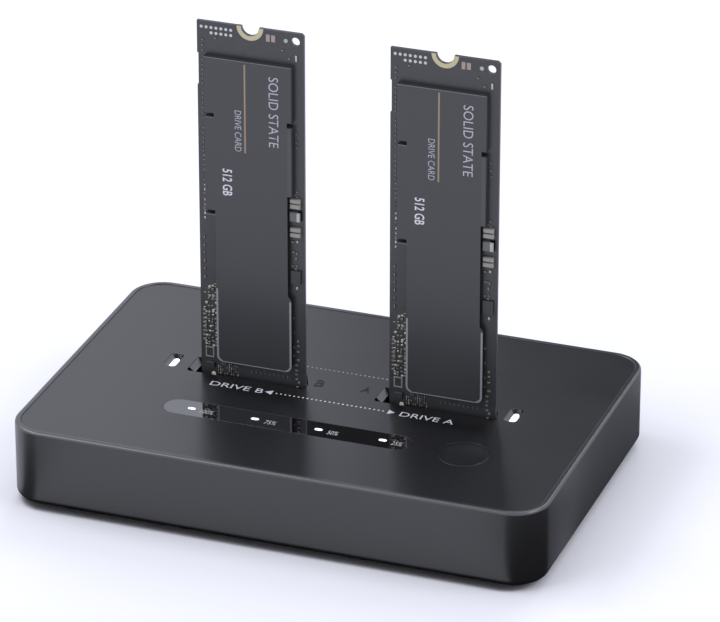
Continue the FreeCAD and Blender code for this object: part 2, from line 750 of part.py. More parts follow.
def base_plate():
    body = new_body("base_plate")
    sketch = new_sketch(body, BASE_FLOOR)
    round_rectangle(sketch, "%s - 2 * base_fit" % INNER_WIDTH, "%s - 2 * base_fit" % INNER_DEPTH,
                    "%s - base_fit" % INNER_ROUND)
    pad(body, sketch, "base_thick")
    dress(body, "Chamfer", "base_inset", at_height(BASE_FLOOR))
    sketch = new_sketch(body, BASE_TOP)
    for sx, sy in CORNERS:
        circle(sketch, "standoff_wide", "%d * %s" % (sx, STANDOFF_X), "%d * %s" % (sy, STANDOFF_Y))
    pad(body, sketch, "standoff_high")
    sketch = new_sketch(body, BASE_TOP)
    for sy in (-1, 1):
        rectangle(sketch, "2 * %s" % STANDOFF_X, "rib_wide", "0", "%d * foot_in_y" % sy)
    pad(body, sketch, "base_rib_high")
    sketch = new_sketch(body, BOARD_FLOOR)
    for sx, sy in CORNERS:
        circle(sketch, "screw_shank + 2 * thread_fit", "%d * %s" % (sx, STANDOFF_X),
               "%d * %s" % (sy, STANDOFF_Y))
    pocket(body, sketch, "board_screw_long - board_thick + screw_end_gap")
    sketch = new_sketch(body, BASE_FLOOR)
    for sx, sy in CORNERS:
        circle(sketch, "foot_wide + 2 * base_fit", "%d * %s" % (sx, FOOT_X), "%d * %s" % (sy, FOOT_Y))
    pocket(body, sketch, "foot_sink", along_normal=True)
    for wide, depth in (("screw_shank + 2 * head_fit", "base_thick"),
                        ("screw_head + 2 * head_fit", "screw_head_high")):
        sketch = new_sketch(body, BASE_FLOOR)
        for sx, sy in CORNERS:
            circle(sketch, wide, "%d * %s" % (sx, BOSS_X), "%d * %s" % (sy, BOSS_Y))
        pocket(body, sketch, depth, along_normal=True)
    return body


def rubber_feet():
    """Four stuck-on discs with a bevelled lower edge."""
    feet = []
    for number, (sx, sy) in enumerate(CORNERS, 1):
        body = new_body("rubber_foot_%d" % number)
        sketch = new_sketch(body, "0")
        circle(sketch, "foot_wide")
        pad(body, sketch, "%s + foot_sink" % BASE_FLOOR)
        dress(body, "Chamfer", "foot_cut", at_height("0"))
        feet.append(place(body, "%d * %s" % (sx, FOOT_X), "%d * %s" % (sy, FOOT_Y)))
    return group("rubber_feet", feet)


def screw(label, long):
    """A cheese-head screw with a cross recess, head down at its own origin, shank up."""
    body = new_body(label)
    sketch = new_sketch(body, "0", "XZ_Plane")
    outline(sketch, [("0", "0"), ("screw_head / 2", "0"), ("screw_head / 2", "screw_head_high"),
                     ("screw_shank / 2", "screw_head_high"),
                     ("screw_shank / 2", "screw_head_high + %s" % long),
                     ("0", "screw_head_high + %s" % long)])
    revolve(body, sketch)
    sketch = new_sketch(body, "0")
    half, slit = "cross_wide / 2", "cross_slit / 2"
    arms = [("-%s" % half, "-%s" % slit), ("-%s" % slit, "-%s" % slit), ("-%s" % slit, "-%s" % half),
            (slit, "-%s" % half), (slit, "-%s" % slit), (half, "-%s" % slit), (half, slit),
            (slit, slit), (slit, half), ("-%s" % slit, half), ("-%s" % slit, slit),
            ("-%s" % half, slit)]
    outline(sketch, arms)
    pocket(body, sketch, "cross_deep", along_normal=True)
    return body


def case_screws():
    screws = []
    for number, (sx, sy) in enumerate(CORNERS, 1):
        one = screw("case_screw_%d" % number,
                    "(base_thick - screw_head_high + case_screw_long - screw_end_gap)")
        screws.append(place(one, "%d * %s" % (sx, BOSS_X), "%d * %s" % (sy, BOSS_Y), BASE_FLOOR))
    return group("case_screws", screws)


def board_screws():
    """Turned over, so that the heads bear on the board."""
    screws = []
    for number, (sx, sy) in enumerate(CORNERS, 1):
        one = screw("board_screw_%d" % number, "board_screw_long")
        one.Placement = FreeCAD.Placement(FreeCAD.Vector(), FreeCAD.Rotation(FreeCAD.Vector(1, 0, 0), 180))
        place(one, "%d * %s" % (sx, STANDOFF_X), "%d * %s" % (sy, STANDOFF_Y),
              "%s + screw_head_high" % BOARD_TOP)
        screws.append(one)
    return group("board_screws", screws)


# ---- main board and what is soldered to it ----------------------------------------------

def main_board():
    body = new_body("main_board")
    half_w = "(%s / 2 - board_gap)" % INNER_WIDTH
    half_d = "(%s / 2 - board_gap)" % INNER_DEPTH
    step_x = "(%s - boss_wide / 2 - boss_gap)" % BOSS_X
    step_y = "(%s - boss_wide / 2 - boss_gap)" % BOSS_Y
    sketch = new_sketch(body, BOARD_FLOOR)
    minus = "-%s"
    # A rectangle whose corners step back round the housing's bosses.
    outline(sketch, [(minus % step_x, minus % half_d), (step_x, minus % half_d),
                     (step_x, minus % step_y), (half_w, minus % step_y), (half_w, step_y),
                     (step_x, step_y), (step_x, half_d), (minus % step_x, half_d),
                     (minus % step_x, step_y), (minus % half_w, step_y),
                     (minus % half_w, minus % step_y), (minus % step_x, minus % step_y)])
    pad(body, sketch, "board_thick")
    sketch = new_sketch(body, BOARD_TOP)
    for sx, sy in CORNERS:
        circle(sketch, "screw_shank + 2 * head_fit", "%d * %s" % (sx, STANDOFF_X),
               "%d * %s" % (sy, STANDOFF_Y))
    for centre, _ in CARDS.values():
        for sign in (-1, 1):
            circle(sketch, "peg_wide + 2 * peg_fit", "%s + %d * %s" % (centre, sign, PEG_X),
                   "card_plane_y")
    pocket(body, sketch, "board_thick")
    return body


def board_lights():
    """One light package under each post, with its domed window."""
    spots = [("light_first_x + %d * light_pitch" % n, LIGHT_Y) for n in range(LIGHT_COUNT)]
    spots += [("%s + %s" % (window, LENS_SHIFT), "status_y") for _, window in CARDS.values()]
    packages = []
    for number, (across, back) in enumerate(spots, 1):
        body = new_body("board_light_%d" % number)
        sketch = new_sketch(body, "0")
        rectangle(sketch, "led_wide", "led_deep")
        pad(body, sketch, "led_high / 2")
        sketch = new_sketch(body, "led_high / 2")
        rectangle(sketch, "led_dome", "led_deep")
        pad(body, sketch, "led_high / 2")
        packages.append(place(body, across, back, BOARD_TOP))
    return group("board_lights", packages)


def bridge_chips():
    """The copy controller and the host bridge, square packages with one bevelled corner."""
    chips = []
    for number, sign in enumerate((-1, 1), 1):
        body = new_body("bridge_chip_%d" % number)
        half = "chip_wide / 2"
        sketch = new_sketch(body, "0")
        outline(sketch, [("-%s" % half, "-%s" % half), (half, "-%s" % half), (half, half),
                         ("-%s + chip_bevel" % half, half), ("-%s" % half, "%s - chip_bevel" % half)])
        pad(body, sketch, "chip_high")
        chips.append(place(body, "%d * chip_row_x" % sign, "chip_row_y", BOARD_TOP))
    return group("bridge_chips", chips)


def crystal_can():
    """Drawn metal can on its wider base flange."""
    body = new_body("crystal_can")
    sketch = new_sketch(body, "0")
    pill(sketch, "crystal_long", "crystal_wide")
    pad(body, sketch, "crystal_flange")
    sketch = new_sketch(body, "crystal_flange")
    pill(sketch, "crystal_long - 2 * crystal_flange", "crystal_wide - 2 * crystal_flange")
    pad(body, sketch, "crystal_high - crystal_flange")
    dress(body, "Chamfer", "crystal_flange", at_height("crystal_high"))
    return place(body, "0", "chip_row_y", BOARD_TOP)


def filter_capacitors():
    """Aluminium cans on square bases with two cut corners."""
    cans = []
    for number in range(3):
        body = new_body("filter_capacitor_%d" % (number + 1))
        half = "can_base / 2"
        sketch = new_sketch(body, "0")
        outline(sketch, [("-%s" % half, "-%s" % half), (half, "-%s" % half),
                         (half, "%s - can_cut" % half), ("%s - can_cut" % half, half),
                         ("-%s + can_cut" % half, half), ("-%s" % half, "%s - can_cut" % half)])
        pad(body, sketch, "can_base_high")
        sketch = new_sketch(body, "can_base_high")
        circle(sketch, "can_wide")
        pad(body, sketch, "can_high - can_base_high")
        dress(body, "Chamfer", "can_shoulder", at_height("can_high"))
        cans.append(place(body, "can_row_x - %d * can_pitch" % number, "%s - can_from_back" % BACK,
                          BOARD_TOP))
    return group("filter_capacitors", cans)


def power_inductors():
    """Moulded square inductors with rounded upright edges."""
    coils = []
    for number, sign in enumerate((-1, 1), 1):
        body = new_body("power_inductor_%d" % number)
        sketch = new_sketch(body, "0")
        round_rectangle(sketch, "coil_wide", "coil_wide", "coil_round")
        pad(body, sketch, "coil_high")
        dress(body, "Chamfer", "coil_cut", at_height("coil_high"))
        coils.append(place(body, COIL_X, "coil_y + %d * coil_pitch / 2" % sign, BOARD_TOP))
    return group("power_inductors", coils)


# ---- light guides and the smoked window ---------------------------------------------------

def progress_window():
    """Smoked strip let into the panel, pierced for the four light posts."""
    body = new_body("progress_window")
    sketch = new_sketch(body, "%s - strip_deep" % PANEL_TOP)
    pill(sketch, "strip_long - 2 * strip_fit", "strip_wide - 2 * strip_fit", "strip_x", STRIP_Y)
    pad(body, sketch, "strip_deep")
    dress(body, "Chamfer", "panel_edge_cut", at_height(PANEL_TOP))
    sketch = new_sketch(body, PANEL_TOP)
    for number in range(LIGHT_COUNT):
        pill(sketch, "pill_long + 2 * pill_fit", "pill_wide + 2 * pill_fit",
             "light_first_x + %d * light_pitch" % number, LIGHT_Y)
    pocket(body, sketch, "strip_deep")
    return body


def progress_light_guide():
    """Clear bar under the panel with a pill-shaped post up and a round leg down per light."""
    body = new_body("progress_light_guide")
    span = "(%d * light_pitch)" % (LIGHT_COUNT - 1)
    sketch = new_sketch(body, "%s - guide_bar_high" % PANEL_FLOOR)
    pill(sketch, "%s + 2 * guide_bar_end" % span, "guide_bar_wide",
         "light_first_x + %s / 2" % span, LIGHT_Y)
    pad(body, sketch, "guide_bar_high")
    sketch = new_sketch(body, PANEL_FLOOR)
    for number in range(LIGHT_COUNT):
        pill(sketch, "pill_long", "pill_wide", "light_first_x + %d * light_pitch" % number, LIGHT_Y)
    pad(body, sketch, "panel_thick")
    sketch = new_sketch(body, "%s - guide_bar_high" % PANEL_FLOOR)
    for number in range(LIGHT_COUNT):
        circle(sketch, "guide_leg", "light_first_x + %d * light_pitch" % number, LIGHT_Y)
    pad(body, sketch, "%s - guide_bar_high - %s - light_gap" % (PANEL_FLOOR, LED_TOP), down=True)
    return body


def status_light_guides():
    """Lenses that stand in the two small windows, each on its flange and over its light."""
    lenses = []
    for side, (_, window) in CARDS.items():
        body = new_body("status_lens_" + side)
        floor = "%s - lens_flange" % PANEL_FLOOR
        sketch = new_sketch(body, floor)
        round_rectangle(sketch, "window_wide + 2 * lens_flange_over",
                        "window_long + 2 * lens_flange_over", "window_corner")
        pad(body, sketch, "lens_flange")
        sketch = new_sketch(body, PANEL_FLOOR)
        pill(sketch, "lens_long", "lens_wide", LENS_SHIFT, "0", upright=True)
        pad(body, sketch, "panel_thick - window_sink")
        sketch = new_sketch(body, floor)
        circle(sketch, "guide_leg", LENS_SHIFT)
        pad(body, sketch, "%s - %s - light_gap" % (floor, LED_TOP), down=True)
        lenses.append(place(body, window, "status_y"))
    return group("status_light_guides", lenses)


# ---- clone key: dished cap over a dome switch ---------------------------------------------

def clone_key():
    body = new_body("clone_key")
    sketch = new_sketch(body, "0", "XZ_Plane")
    flange_top = "%s - key_play" % PANEL_FLOOR
    flange_low = "%s - key_flange_high" % flange_top
    # The thumb dish is a shallow arc about a centre high on the axis.
    half = "(key_wide / 2 - key_rim)"
    ball = "((%s * %s + key_dish * key_dish) / (2 * key_dish))" % (half, half)
    stem_low = "%s + plunger_proud" % SWITCH_TOP
    outline(sketch, [("0", stem_low), ("key_stem / 2", stem_low), ("key_stem / 2", flange_low),
                     ("key_flange / 2", flange_low), ("key_flange / 2", flange_top),
                     ("key_wide / 2", flange_top), ("key_wide / 2", "%s - key_rim / 2" % PANEL_TOP),
                     ("key_wide / 2 - key_rim / 2", PANEL_TOP), (half, PANEL_TOP),
                     ("0", "%s - key_dish" % PANEL_TOP)], {8: (ball, -1)})
    revolve(body, sketch)
    return place(body, KEY_X, KEY_Y)


def key_switch():
    """Square switch body with a round well, and the plunger that rides in it."""
    body = new_body("key_switch_body")
    sketch = new_sketch(body, BOARD_TOP)
    rectangle(sketch, "key_switch_wide", "key_switch_wide")
    pad(body, sketch, "key_switch_high")
    dress(body, "Chamfer", "key_switch_wide / 10", upright)
    sketch = new_sketch(body, SWITCH_TOP)
    circle(sketch, "plunger_wide + 2 * plunger_fit")
    pocket(body, sketch, "plunger_sink + key_travel + plunger_fit")
    place(body, KEY_X, KEY_Y)
    plunger = new_body("key_switch_plunger")
    sketch = new_sketch(plunger, "%s - plunger_sink" % SWITCH_TOP)
    circle(sketch, "plunger_wide")
    pad(plunger, sketch, "plunger_sink + plunger_proud")
    dress(plunger, "Chamfer", "plunger_sink / 3", at_height("%s - plunger_sink" % SWITCH_TOP))
    return body, place(plunger, KEY_X, KEY_Y)


# ---- power button and its latching switch -------------------------------------------------

def power_button():
    """Crowned round cap with a keeper flange and a square grip for the switch rod."""
    body = new_body("power_button")
    sketch = new_sketch(body, "0")
    flange_out = "%s - button_play" % INNER_BACK
    flange_in = "%s - button_flange_high" % flange_out
    heel = "%s - rod_grip" % flange_in
    outline(sketch, [("0", heel), ("button_wide / 2", heel), ("button_wide / 2", flange_in),
                     ("button_flange / 2", flange_in), ("button_flange / 2", flange_out),
                     ("button_wide / 2", flange_out),
                     ("button_wide / 2", "%s + button_proud - button_crown" % BACK),
                     ("button_wide / 2 - button_crown", "%s + button_proud" % BACK),
                     ("0", "%s + button_proud" % BACK)])
    revolve(body, sketch)
    sketch = new_sketch(body, "-(%s)" % heel, "XZ_Plane")
    rectangle(sketch, "rod_wide + 2 * rod_fit", "rod_wide + 2 * rod_fit")
    pocket(body, sketch, "rod_grip")
    return place(body, BUTTON_X, "0", BUTTON_Z)


def power_switch():
    """Latching switch body, bored for its square rod, and the rod."""
    body = new_body("power_switch_body")
    tip = "(%s - button_play - button_flange_high)" % INNER_BACK
    front = "(%s - rod_grip - button_travel - latch_gap)" % tip
    sketch = new_sketch(body, "-%s" % front, "XZ_Plane")
    rectangle(sketch, "latch_wide", "latch_wide")
    pad(body, sketch, "latch_deep")
    dress(body, "Chamfer", "latch_cut", lengthwise)
    sketch = new_sketch(body, "-%s" % front, "XZ_Plane")
    rectangle(sketch, "rod_wide + 2 * rod_fit", "rod_wide + 2 * rod_fit")
    pocket(body, sketch, "latch_back", along_normal=True)
    place(body, BUTTON_X, "0", BUTTON_Z)
    rod = new_body("power_switch_rod")
    sketch = new_sketch(rod, "-%s" % tip, "XZ_Plane")
    rectangle(sketch, "rod_wide", "rod_wide")
    pad(rod, sketch, "rod_grip + latch_back - latch_gap")
    return body, place(rod, BUTTON_X, "0", BUTTON_Z)


# ---- data port and power jack -------------------------------------------------------------

def data_port():
    """Drawn oval shell with a closed back, and the thin contact tongue inside it."""
    mouth = "(%s - port_inset)" % BACK
    shell = new_body("data_port_shell")
    sketch = new_sketch(shell, "-%s" % mouth, "XZ_Plane")
    pill(sketch, "port_wide", "port_high")
    pad(shell, sketch, "port_deep")
    sketch = new_sketch(shell, "-%s" % mouth, "XZ_Plane")
    pill(sketch, "port_wide - 2 * port_wall", "port_high - 2 * port_wall")
    pocket(shell, sketch, "port_cavity", along_normal=True)
    place(shell, PORT_X, "0", PORT_Z)
    tongue = new_body("data_port_tongue")
    root = "(%s - port_cavity)" % mouth
    sketch = new_sketch(tongue, "-(%s + tongue_long)" % root, "XZ_Plane")
    pill(sketch, "tongue_wide", "tongue_thick")
    pad(tongue, sketch, "tongue_long")
    sketch = new_sketch(tongue, "-(%s + tongue_root_long)" % root, "XZ_Plane")
    pill(sketch, "tongue_root_wide", "tongue_root_high")
    pad(tongue, sketch, "tongue_root_long")
    return shell, place(tongue, PORT_X, "0", PORT_Z)


def power_jack():
    """Block with a round nose through the wall, its bore, and the centre pin."""
    mouth = "(%s - jack_inset)" % BACK
    heel = "(%s - jack_fit)" % INNER_BACK
    body = new_body("power_jack_body")
    sketch = new_sketch(body, "-%s" % heel, "XZ_Plane")
    rectangle(sketch, JACK_WIDE, JACK_WIDE)
    pad(body, sketch, "jack_deep")
    dress(body, "Chamfer", "latch_cut", lengthwise)
    sketch = new_sketch(body, "-%s" % mouth, "XZ_Plane")
    circle(sketch, JACK_NOSE)
    pad(body, sketch, "%s - %s" % (mouth, heel))
    sketch = new_sketch(body, "-%s" % mouth, "XZ_Plane")
    circle(sketch, "%s - 2 * jack_wall" % JACK_NOSE)
    pocket(body, sketch, "jack_bore_deep", along_normal=True)
    place(body, JACK_X, "0", JACK_Z)
    pin = new_body("power_jack_pin")
    root = "(%s - jack_bore_deep)" % mouth
    sketch = new_sketch(pin, "0")
    collar = "%s + jack_pin_root_high" % root
    outline(sketch, [("0", root), ("jack_pin_root / 2", root), ("jack_pin_root / 2", collar),
                     ("jack_pin / 2", collar),
                     ("jack_pin / 2", "%s + jack_pin_long - jack_pin_tip" % root),
                     ("jack_pin / 2 - jack_pin_tip", "%s + jack_pin_long" % root),
                     ("0", "%s + jack_pin_long" % root)])
    revolve(pin, sketch)
    return body, place(pin, JACK_X, "0", JACK_Z)


# ---- card sockets -------------------------------------------------------------------------

def socket_housing(side):
    """Tall moulded socket: keyed slot above, open contact channels beside a middle spine."""
    centre = CARDS[side][0]
    body = new_body("socket_%s_housing" % side)
    block_top = "(%s - block_gap)" % PANEL_FLOOR
    sketch = new_sketch(body, BOARD_TOP)
    rectangle(sketch, BLOCK_WIDE, "block_front + %s" % BLOCK_BACK, "0",
              "(%s - block_front) / 2" % BLOCK_BACK)
    pad(body, sketch, "%s - %s" % (block_top, BOARD_TOP))
    sketch = new_sketch(body, block_top)
    # The collar stands in the panel's slot, clear of its edges.
    front = "(slot_front - collar_gap)"
    round_rectangle(sketch, "2 * (%s - collar_gap)" % SLOT_RIGHT, "%s + collar_back" % front,
                    "collar_back / 4", "0", "(collar_back - %s) / 2" % front)
    pad(body, sketch, "%s - %s" % (SOCKET_TOP, block_top))
    # Two stretches of slot with the key rib standing between them.
    tab = "(%s / 2 + card_fit)" % TAB_WIDE
    rib = "(notch_wide / 2 - 2 * card_fit)"
    spans = (("-%s" % tab, "notch_b_x - %s" % rib), ("notch_b_x + %s" % rib, tab))
    slot = "(card_thick / 2 + card_fit)"
    sketch = new_sketch(body, SOCKET_TOP)
    for low, high in spans:
        outline(sketch, [(low, "-%s" % slot), (high, "-%s" % slot), (high, slot), (low, slot)])
    pocket(body, sketch, "%s - %s" % (SOCKET_TOP, CARD_SEAT))
    # The rib ends below the round end of the card's notch.
    sketch = new_sketch(body, SOCKET_TOP)
    rectangle(sketch, "2 * %s + 2 * card_fit" % rib, "2 * %s" % slot, "notch_b_x", "0")
    pocket(body, sketch, "%s - %s - notch_deep + 4 * card_fit" % (SOCKET_TOP, CARD_SEAT))
    # Contact channels, open below for the tails.
    sketch = new_sketch(body, BOARD_TOP)
    for sign in (-1, 1):
        near, far = "%d * spine / 2" % sign, "%d * (%s + channel_deep)" % (sign, slot)
        ends = "(%s / 2 - contact_pitch)" % TAB_WIDE
        corners = [("-%s" % ends, near), (ends, near), (ends, far), ("-%s" % ends, far)]
        outline(sketch, corners if sign == 1 else corners[::-1])
    pocket(body, sketch, "%s - mouth_lip - %s" % (SOCKET_TOP, BOARD_TOP), along_normal=True)
    sketch = new_sketch(body, BOARD_TOP)
    for low, high in (("-block_front", "-spine / 2"), ("spine / 2", BLOCK_BACK)):
        ends = "(%s / 2 - contact_pitch)" % TAB_WIDE
        outline(sketch, [("-%s" % ends, low), (ends, low), (ends, high), ("-%s" % ends, high)])
    pocket(body, sketch, "tail_gap", along_normal=True)
    sketch = new_sketch(body, BOARD_TOP)
    for sign in (-1, 1):
        circle(sketch, "peg_wide", "%d * %s" % (sign, PEG_X), "0")
    pad(body, sketch, "peg_long", down=True)
    return place(body, centre, "card_plane_y")


def socket_contacts(side):
    """Two staggered rows of sprung strips: tail on the board, knee against the card."""
    near = size("card_thick / 2 + contact_gap")
    back = size("card_thick / 2 + card_fit + channel_deep - contact_gap")
    thick = size("contact_thick")
    board, top = size(BOARD_TOP), size("%s - mouth_lip - contact_top_gap" % SOCKET_TOP)
    knee = size("%s + tab_long / 3" % CARD_SEAT)
    pitch, wide = size("contact_pitch"), size("contact_wide")
    key_low = size("notch_b_x - 2 * contact_pitch")
    key_high = size("notch_b_x + 2 * contact_pitch")
    strips = []
    for sign, wall in ((-1, "block_front"), (1, BLOCK_BACK)):
        tail = size(wall + " + contact_reach")
        points = [(tail, board), (tail, board + thick), (back, board + thick), (back, top),
                  (near, knee + thick), (near, knee - thick), (back - thick, knee - 4 * thick),
                  (back - thick, board)]
        wire = Part.makePolygon([FreeCAD.Vector(0, sign * y, z) for y, z in points + points[:1]])
        strip = Part.Face(wire).extrude(FreeCAD.Vector(wide, 0, 0))
        count = int(size("%s - 2 * contact_pitch" % TAB_WIDE) / pitch) - 1
        start = -(count - 1) * pitch / 2 + sign * pitch / 4
        for number in range(count):
            middle = start + number * pitch
            if key_low < middle < key_high:
                continue
            strips.append(strip.translated(FreeCAD.Vector(middle - wide / 2, 0, 0)))
    row = doc.addObject("Part::Feature", "socket_%s_contacts" % side)
    row.Label = row.Name
    row.Shape = Part.makeCompound(strips)
    return place(row, CARDS[side][0], "card_plane_y")


# ---- drive cards --------------------------------------------------------------------------

def card_board(side):
    """Bare card, standing on its contact edge: stepped tab, two key notches, half hole."""
    body = new_body("card_%s_board" % side)
    sketch = new_sketch(body, "0", "XZ_Plane")
    half, tab = "card_wide / 2", "%s / 2" % TAB_WIDE
    bite_low = "card_long - bite_long - bite_long"
    outline(sketch, [("-%s" % tab, "0"), (tab, "0"), (tab, "tab_long"), (half, "tab_long"),
                     (half, "card_long - corner_clip"), ("%s - corner_clip" % half, "card_long"),
                     ("-%s" % half, "card_long"), ("-%s" % half, "card_long - bite_long"),
                     ("-%s + bite_deep" % half, "card_long - bite_long"),
                     ("-%s + bite_deep" % half, bite_low), ("-%s" % half, bite_low),
                     ("-%s" % half, "tab_long"), ("-%s" % tab, "tab_long")])
    pad(body, sketch, "card_thick", middle=True)
    sketch = new_sketch(body, "0", "XZ_Plane")
    circle(sketch, "mount_hole", "0", "card_long")
    pocket(body, sketch, "2 * card_thick", middle=True)
    sketch = new_sketch(body, "0", "XZ_Plane")
    circle(sketch, "tooling_hole", "%s - tooling_in_x" % half, "card_long - tooling_in_z")
    for notch in ("notch_m_x", "notch_b_x"):
        pill(sketch, "2 * notch_deep", "notch_wide", notch, "0", upright=True)
    pocket(body, sketch, "2 * card_thick", middle=True)
    return place(body, CARDS[side][0], "card_plane_y", CARD_SEAT)


def card_label(side):
    """Thin spreader label over the packages, stepped in at its waist and flared at its foot."""
    body = new_body("card_%s_label" % side)
    sketch = new_sketch(body, "card_thick / 2 + package_high", "XZ_Plane")
    top, low = "card_long - label_top_in", "label_foot_in"
    left, right = "card_long - waist_left_down", "card_long - waist_right_down"
    flare = "card_long - flare_down"
    outline(sketch, [("label_left", left), ("waist_left", left), ("waist_left", low),
                     ("flare_right", low), ("flare_right", "%s + waist_right - flare_right" % flare),
                     ("waist_right", flare), ("waist_right", right), ("label_right", right),
                     ("label_right", top), ("label_left", top)])
    pad(body, sketch, "label_thick")
    foot = size("label_foot_in")
    dress(body, "Fillet", "label_corner",
          lambda edge: edge.BoundBox.ZMax < foot + 1e-3 and edge.BoundBox.YLength > 1e-3
          and edge.BoundBox.XLength < 1e-3)
    return place(body, CARDS[side][0], "card_plane_y", CARD_SEAT)


def card_packages(side):
    """Two memory packages, the buffer memory and the controller under the label."""
    face = "card_plane_y - card_thick / 2 - package_high"
    rows = (("memory_1", "memory_long", "label_top_in + package_step"),
            ("memory_2", "memory_long", "label_top_in + memory_long + 2 * package_step"),
            ("buffer", "buffer_long", "label_top_in + 2 * memory_long + 3 * package_step"),
            ("controller", "controller_long",
             "card_long - label_foot_in - controller_long - package_step / 2"))
    packages = []
    for name, long, down in rows:
        label = "card_%s_%s" % (side, name)
        across = "%s + (waist_left + waist_right) / 2 - package_wide / 2" % CARDS[side][0]
        up = "%s + card_long - (%s) - %s" % (CARD_SEAT, down, long)
        packages.append(block(label, "package_wide", "package_high", long, across, face, up,
                              centred=False))
    return group("card_%s_packages" % side, packages)


def card_small_parts(side):
    """Chokes, a square coil and small chips along the card's free edges."""
    face = "card_plane_y - card_thick / 2"
    right = "%s + card_wide / 2 - small_in - choke_wide" % CARDS[side][0]
    rows = (("choke_1", "choke_deep", "choke_high", "choke_down"),
            ("choke_2", "choke_deep", "choke_high", "choke_down + choke_step"),
            ("coil", "square_coil_deep", "square_coil_high", "square_coil_down"),
            ("choke_3", "choke_deep", "choke_high", "low_choke_down"),
            ("choke_4", "choke_deep", "choke_high", "low_choke_down + choke_step"),
            ("side_chip", "choke_deep", "side_chip_long", "chip_down"))
    parts = []
    for name, deep, high, down in rows:
        up = "%s + card_long - (%s) - %s" % (CARD_SEAT, down, high)
        parts.append(block("card_%s_%s" % (side, name), "choke_wide", deep, high, right,
                           "%s - %s" % (face, deep), up, centred=False))
    left = "%s - card_wide / 2 + foot_chip_in" % CARDS[side][0]
    parts.append(block("card_%s_foot_chip" % side, "foot_chip", "choke_deep", "foot_chip", left,
                       "%s - choke_deep" % face, "%s + label_foot_in" % CARD_SEAT, centred=False))
    return group("card_%s_small_parts" % side, parts)


def card_mount_ring(side):
    """Plated half rings on both faces round the half hole at the card's end."""
    rings = []
    for face, start in (("front", "card_thick / 2"), ("back", "-card_thick / 2 - plating")):
        body = new_body("card_%s_ring_%s" % (side, face))
        sketch = new_sketch(body, start, "XZ_Plane")
        circle(sketch, "mount_ring", "0", "card_long")
        circle(sketch, "mount_hole", "0", "card_long")
        pad(body, sketch, "plating")
        sketch = new_sketch(body, start, "XZ_Plane")
        rectangle(sketch, "2 * mount_ring", "mount_ring", "0", "card_long + mount_ring / 2")
        pocket(body, sketch, "2 * card_thick + 2 * plating", middle=True)
        rings.append(place(body, CARDS[side][0], "card_plane_y", CARD_SEAT))
    return group("card_%s_mount_ring" % side, rings)


# ---- the whole dock -----------------------------------------------------------------------

def build_all():
    nodes = [housing_frame(), top_panel(), base_plate(), rubber_feet(), case_screws()]
    nodes += [main_board(), board_screws(), board_lights(), bridge_chips(), crystal_can()]
    nodes += [filter_capacitors(), power_inductors()]
    nodes += [progress_window(), progress_light_guide(), status_light_guides(), clone_key()]
    nodes += list(key_switch())
    nodes.append(power_button())
    nodes += list(power_switch())
    nodes += list(data_port())
    nodes += list(power_jack())
    for side in CARDS:
        nodes += [socket_housing(side), socket_contacts(side), card_board(side), card_label(side)]
        nodes += [card_packages(side), card_small_parts(side), card_mount_ring(side)]
    return nodes


nodes = build_all()
doc.recompute()

for item in doc.Objects:
    if "Invalid" in item.State or "Error" in item.State:
        raise RuntimeError("%s did not rebuild: %s" % (item.Name, item.State))
for node in nodes:
    if node.Shape.isNull() or not node.Shape.isValid() or not node.Shape.Solids:
        raise RuntimeError(node.Label + " has no valid shape")

os.makedirs("parts", exist_ok=True)
for node in nodes:
    node.Shape.exportStep("parts/%s.step" % node.Label)
    print("%-22s %3d solids %9.2f mm3" % (node.Label, len(node.Shape.Solids), node.Shape.Volume))
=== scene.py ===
import bpy
import bmesh
import math
from mathutils import Matrix, Vector


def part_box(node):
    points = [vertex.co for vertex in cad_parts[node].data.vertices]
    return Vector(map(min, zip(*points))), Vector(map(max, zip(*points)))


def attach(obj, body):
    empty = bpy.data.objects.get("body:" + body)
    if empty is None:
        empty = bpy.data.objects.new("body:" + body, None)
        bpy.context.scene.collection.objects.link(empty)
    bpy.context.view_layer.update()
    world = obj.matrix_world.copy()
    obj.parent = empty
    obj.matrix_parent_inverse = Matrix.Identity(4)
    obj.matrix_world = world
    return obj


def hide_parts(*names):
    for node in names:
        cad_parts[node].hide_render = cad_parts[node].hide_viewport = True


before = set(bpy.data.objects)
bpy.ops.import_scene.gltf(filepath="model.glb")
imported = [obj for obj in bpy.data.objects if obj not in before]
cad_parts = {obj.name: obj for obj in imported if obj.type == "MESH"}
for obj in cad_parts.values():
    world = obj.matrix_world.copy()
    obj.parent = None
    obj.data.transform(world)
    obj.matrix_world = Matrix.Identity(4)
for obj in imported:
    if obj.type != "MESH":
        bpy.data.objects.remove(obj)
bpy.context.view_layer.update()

mm = 0.001


# ---- housing frame ------------------------------------------------------------------------
# The wall ring is one black moulding with a fine satin texture. Its rim is rounded over and
# stands just above the panel, and the back wall is pierced for the port, the jack and the button.

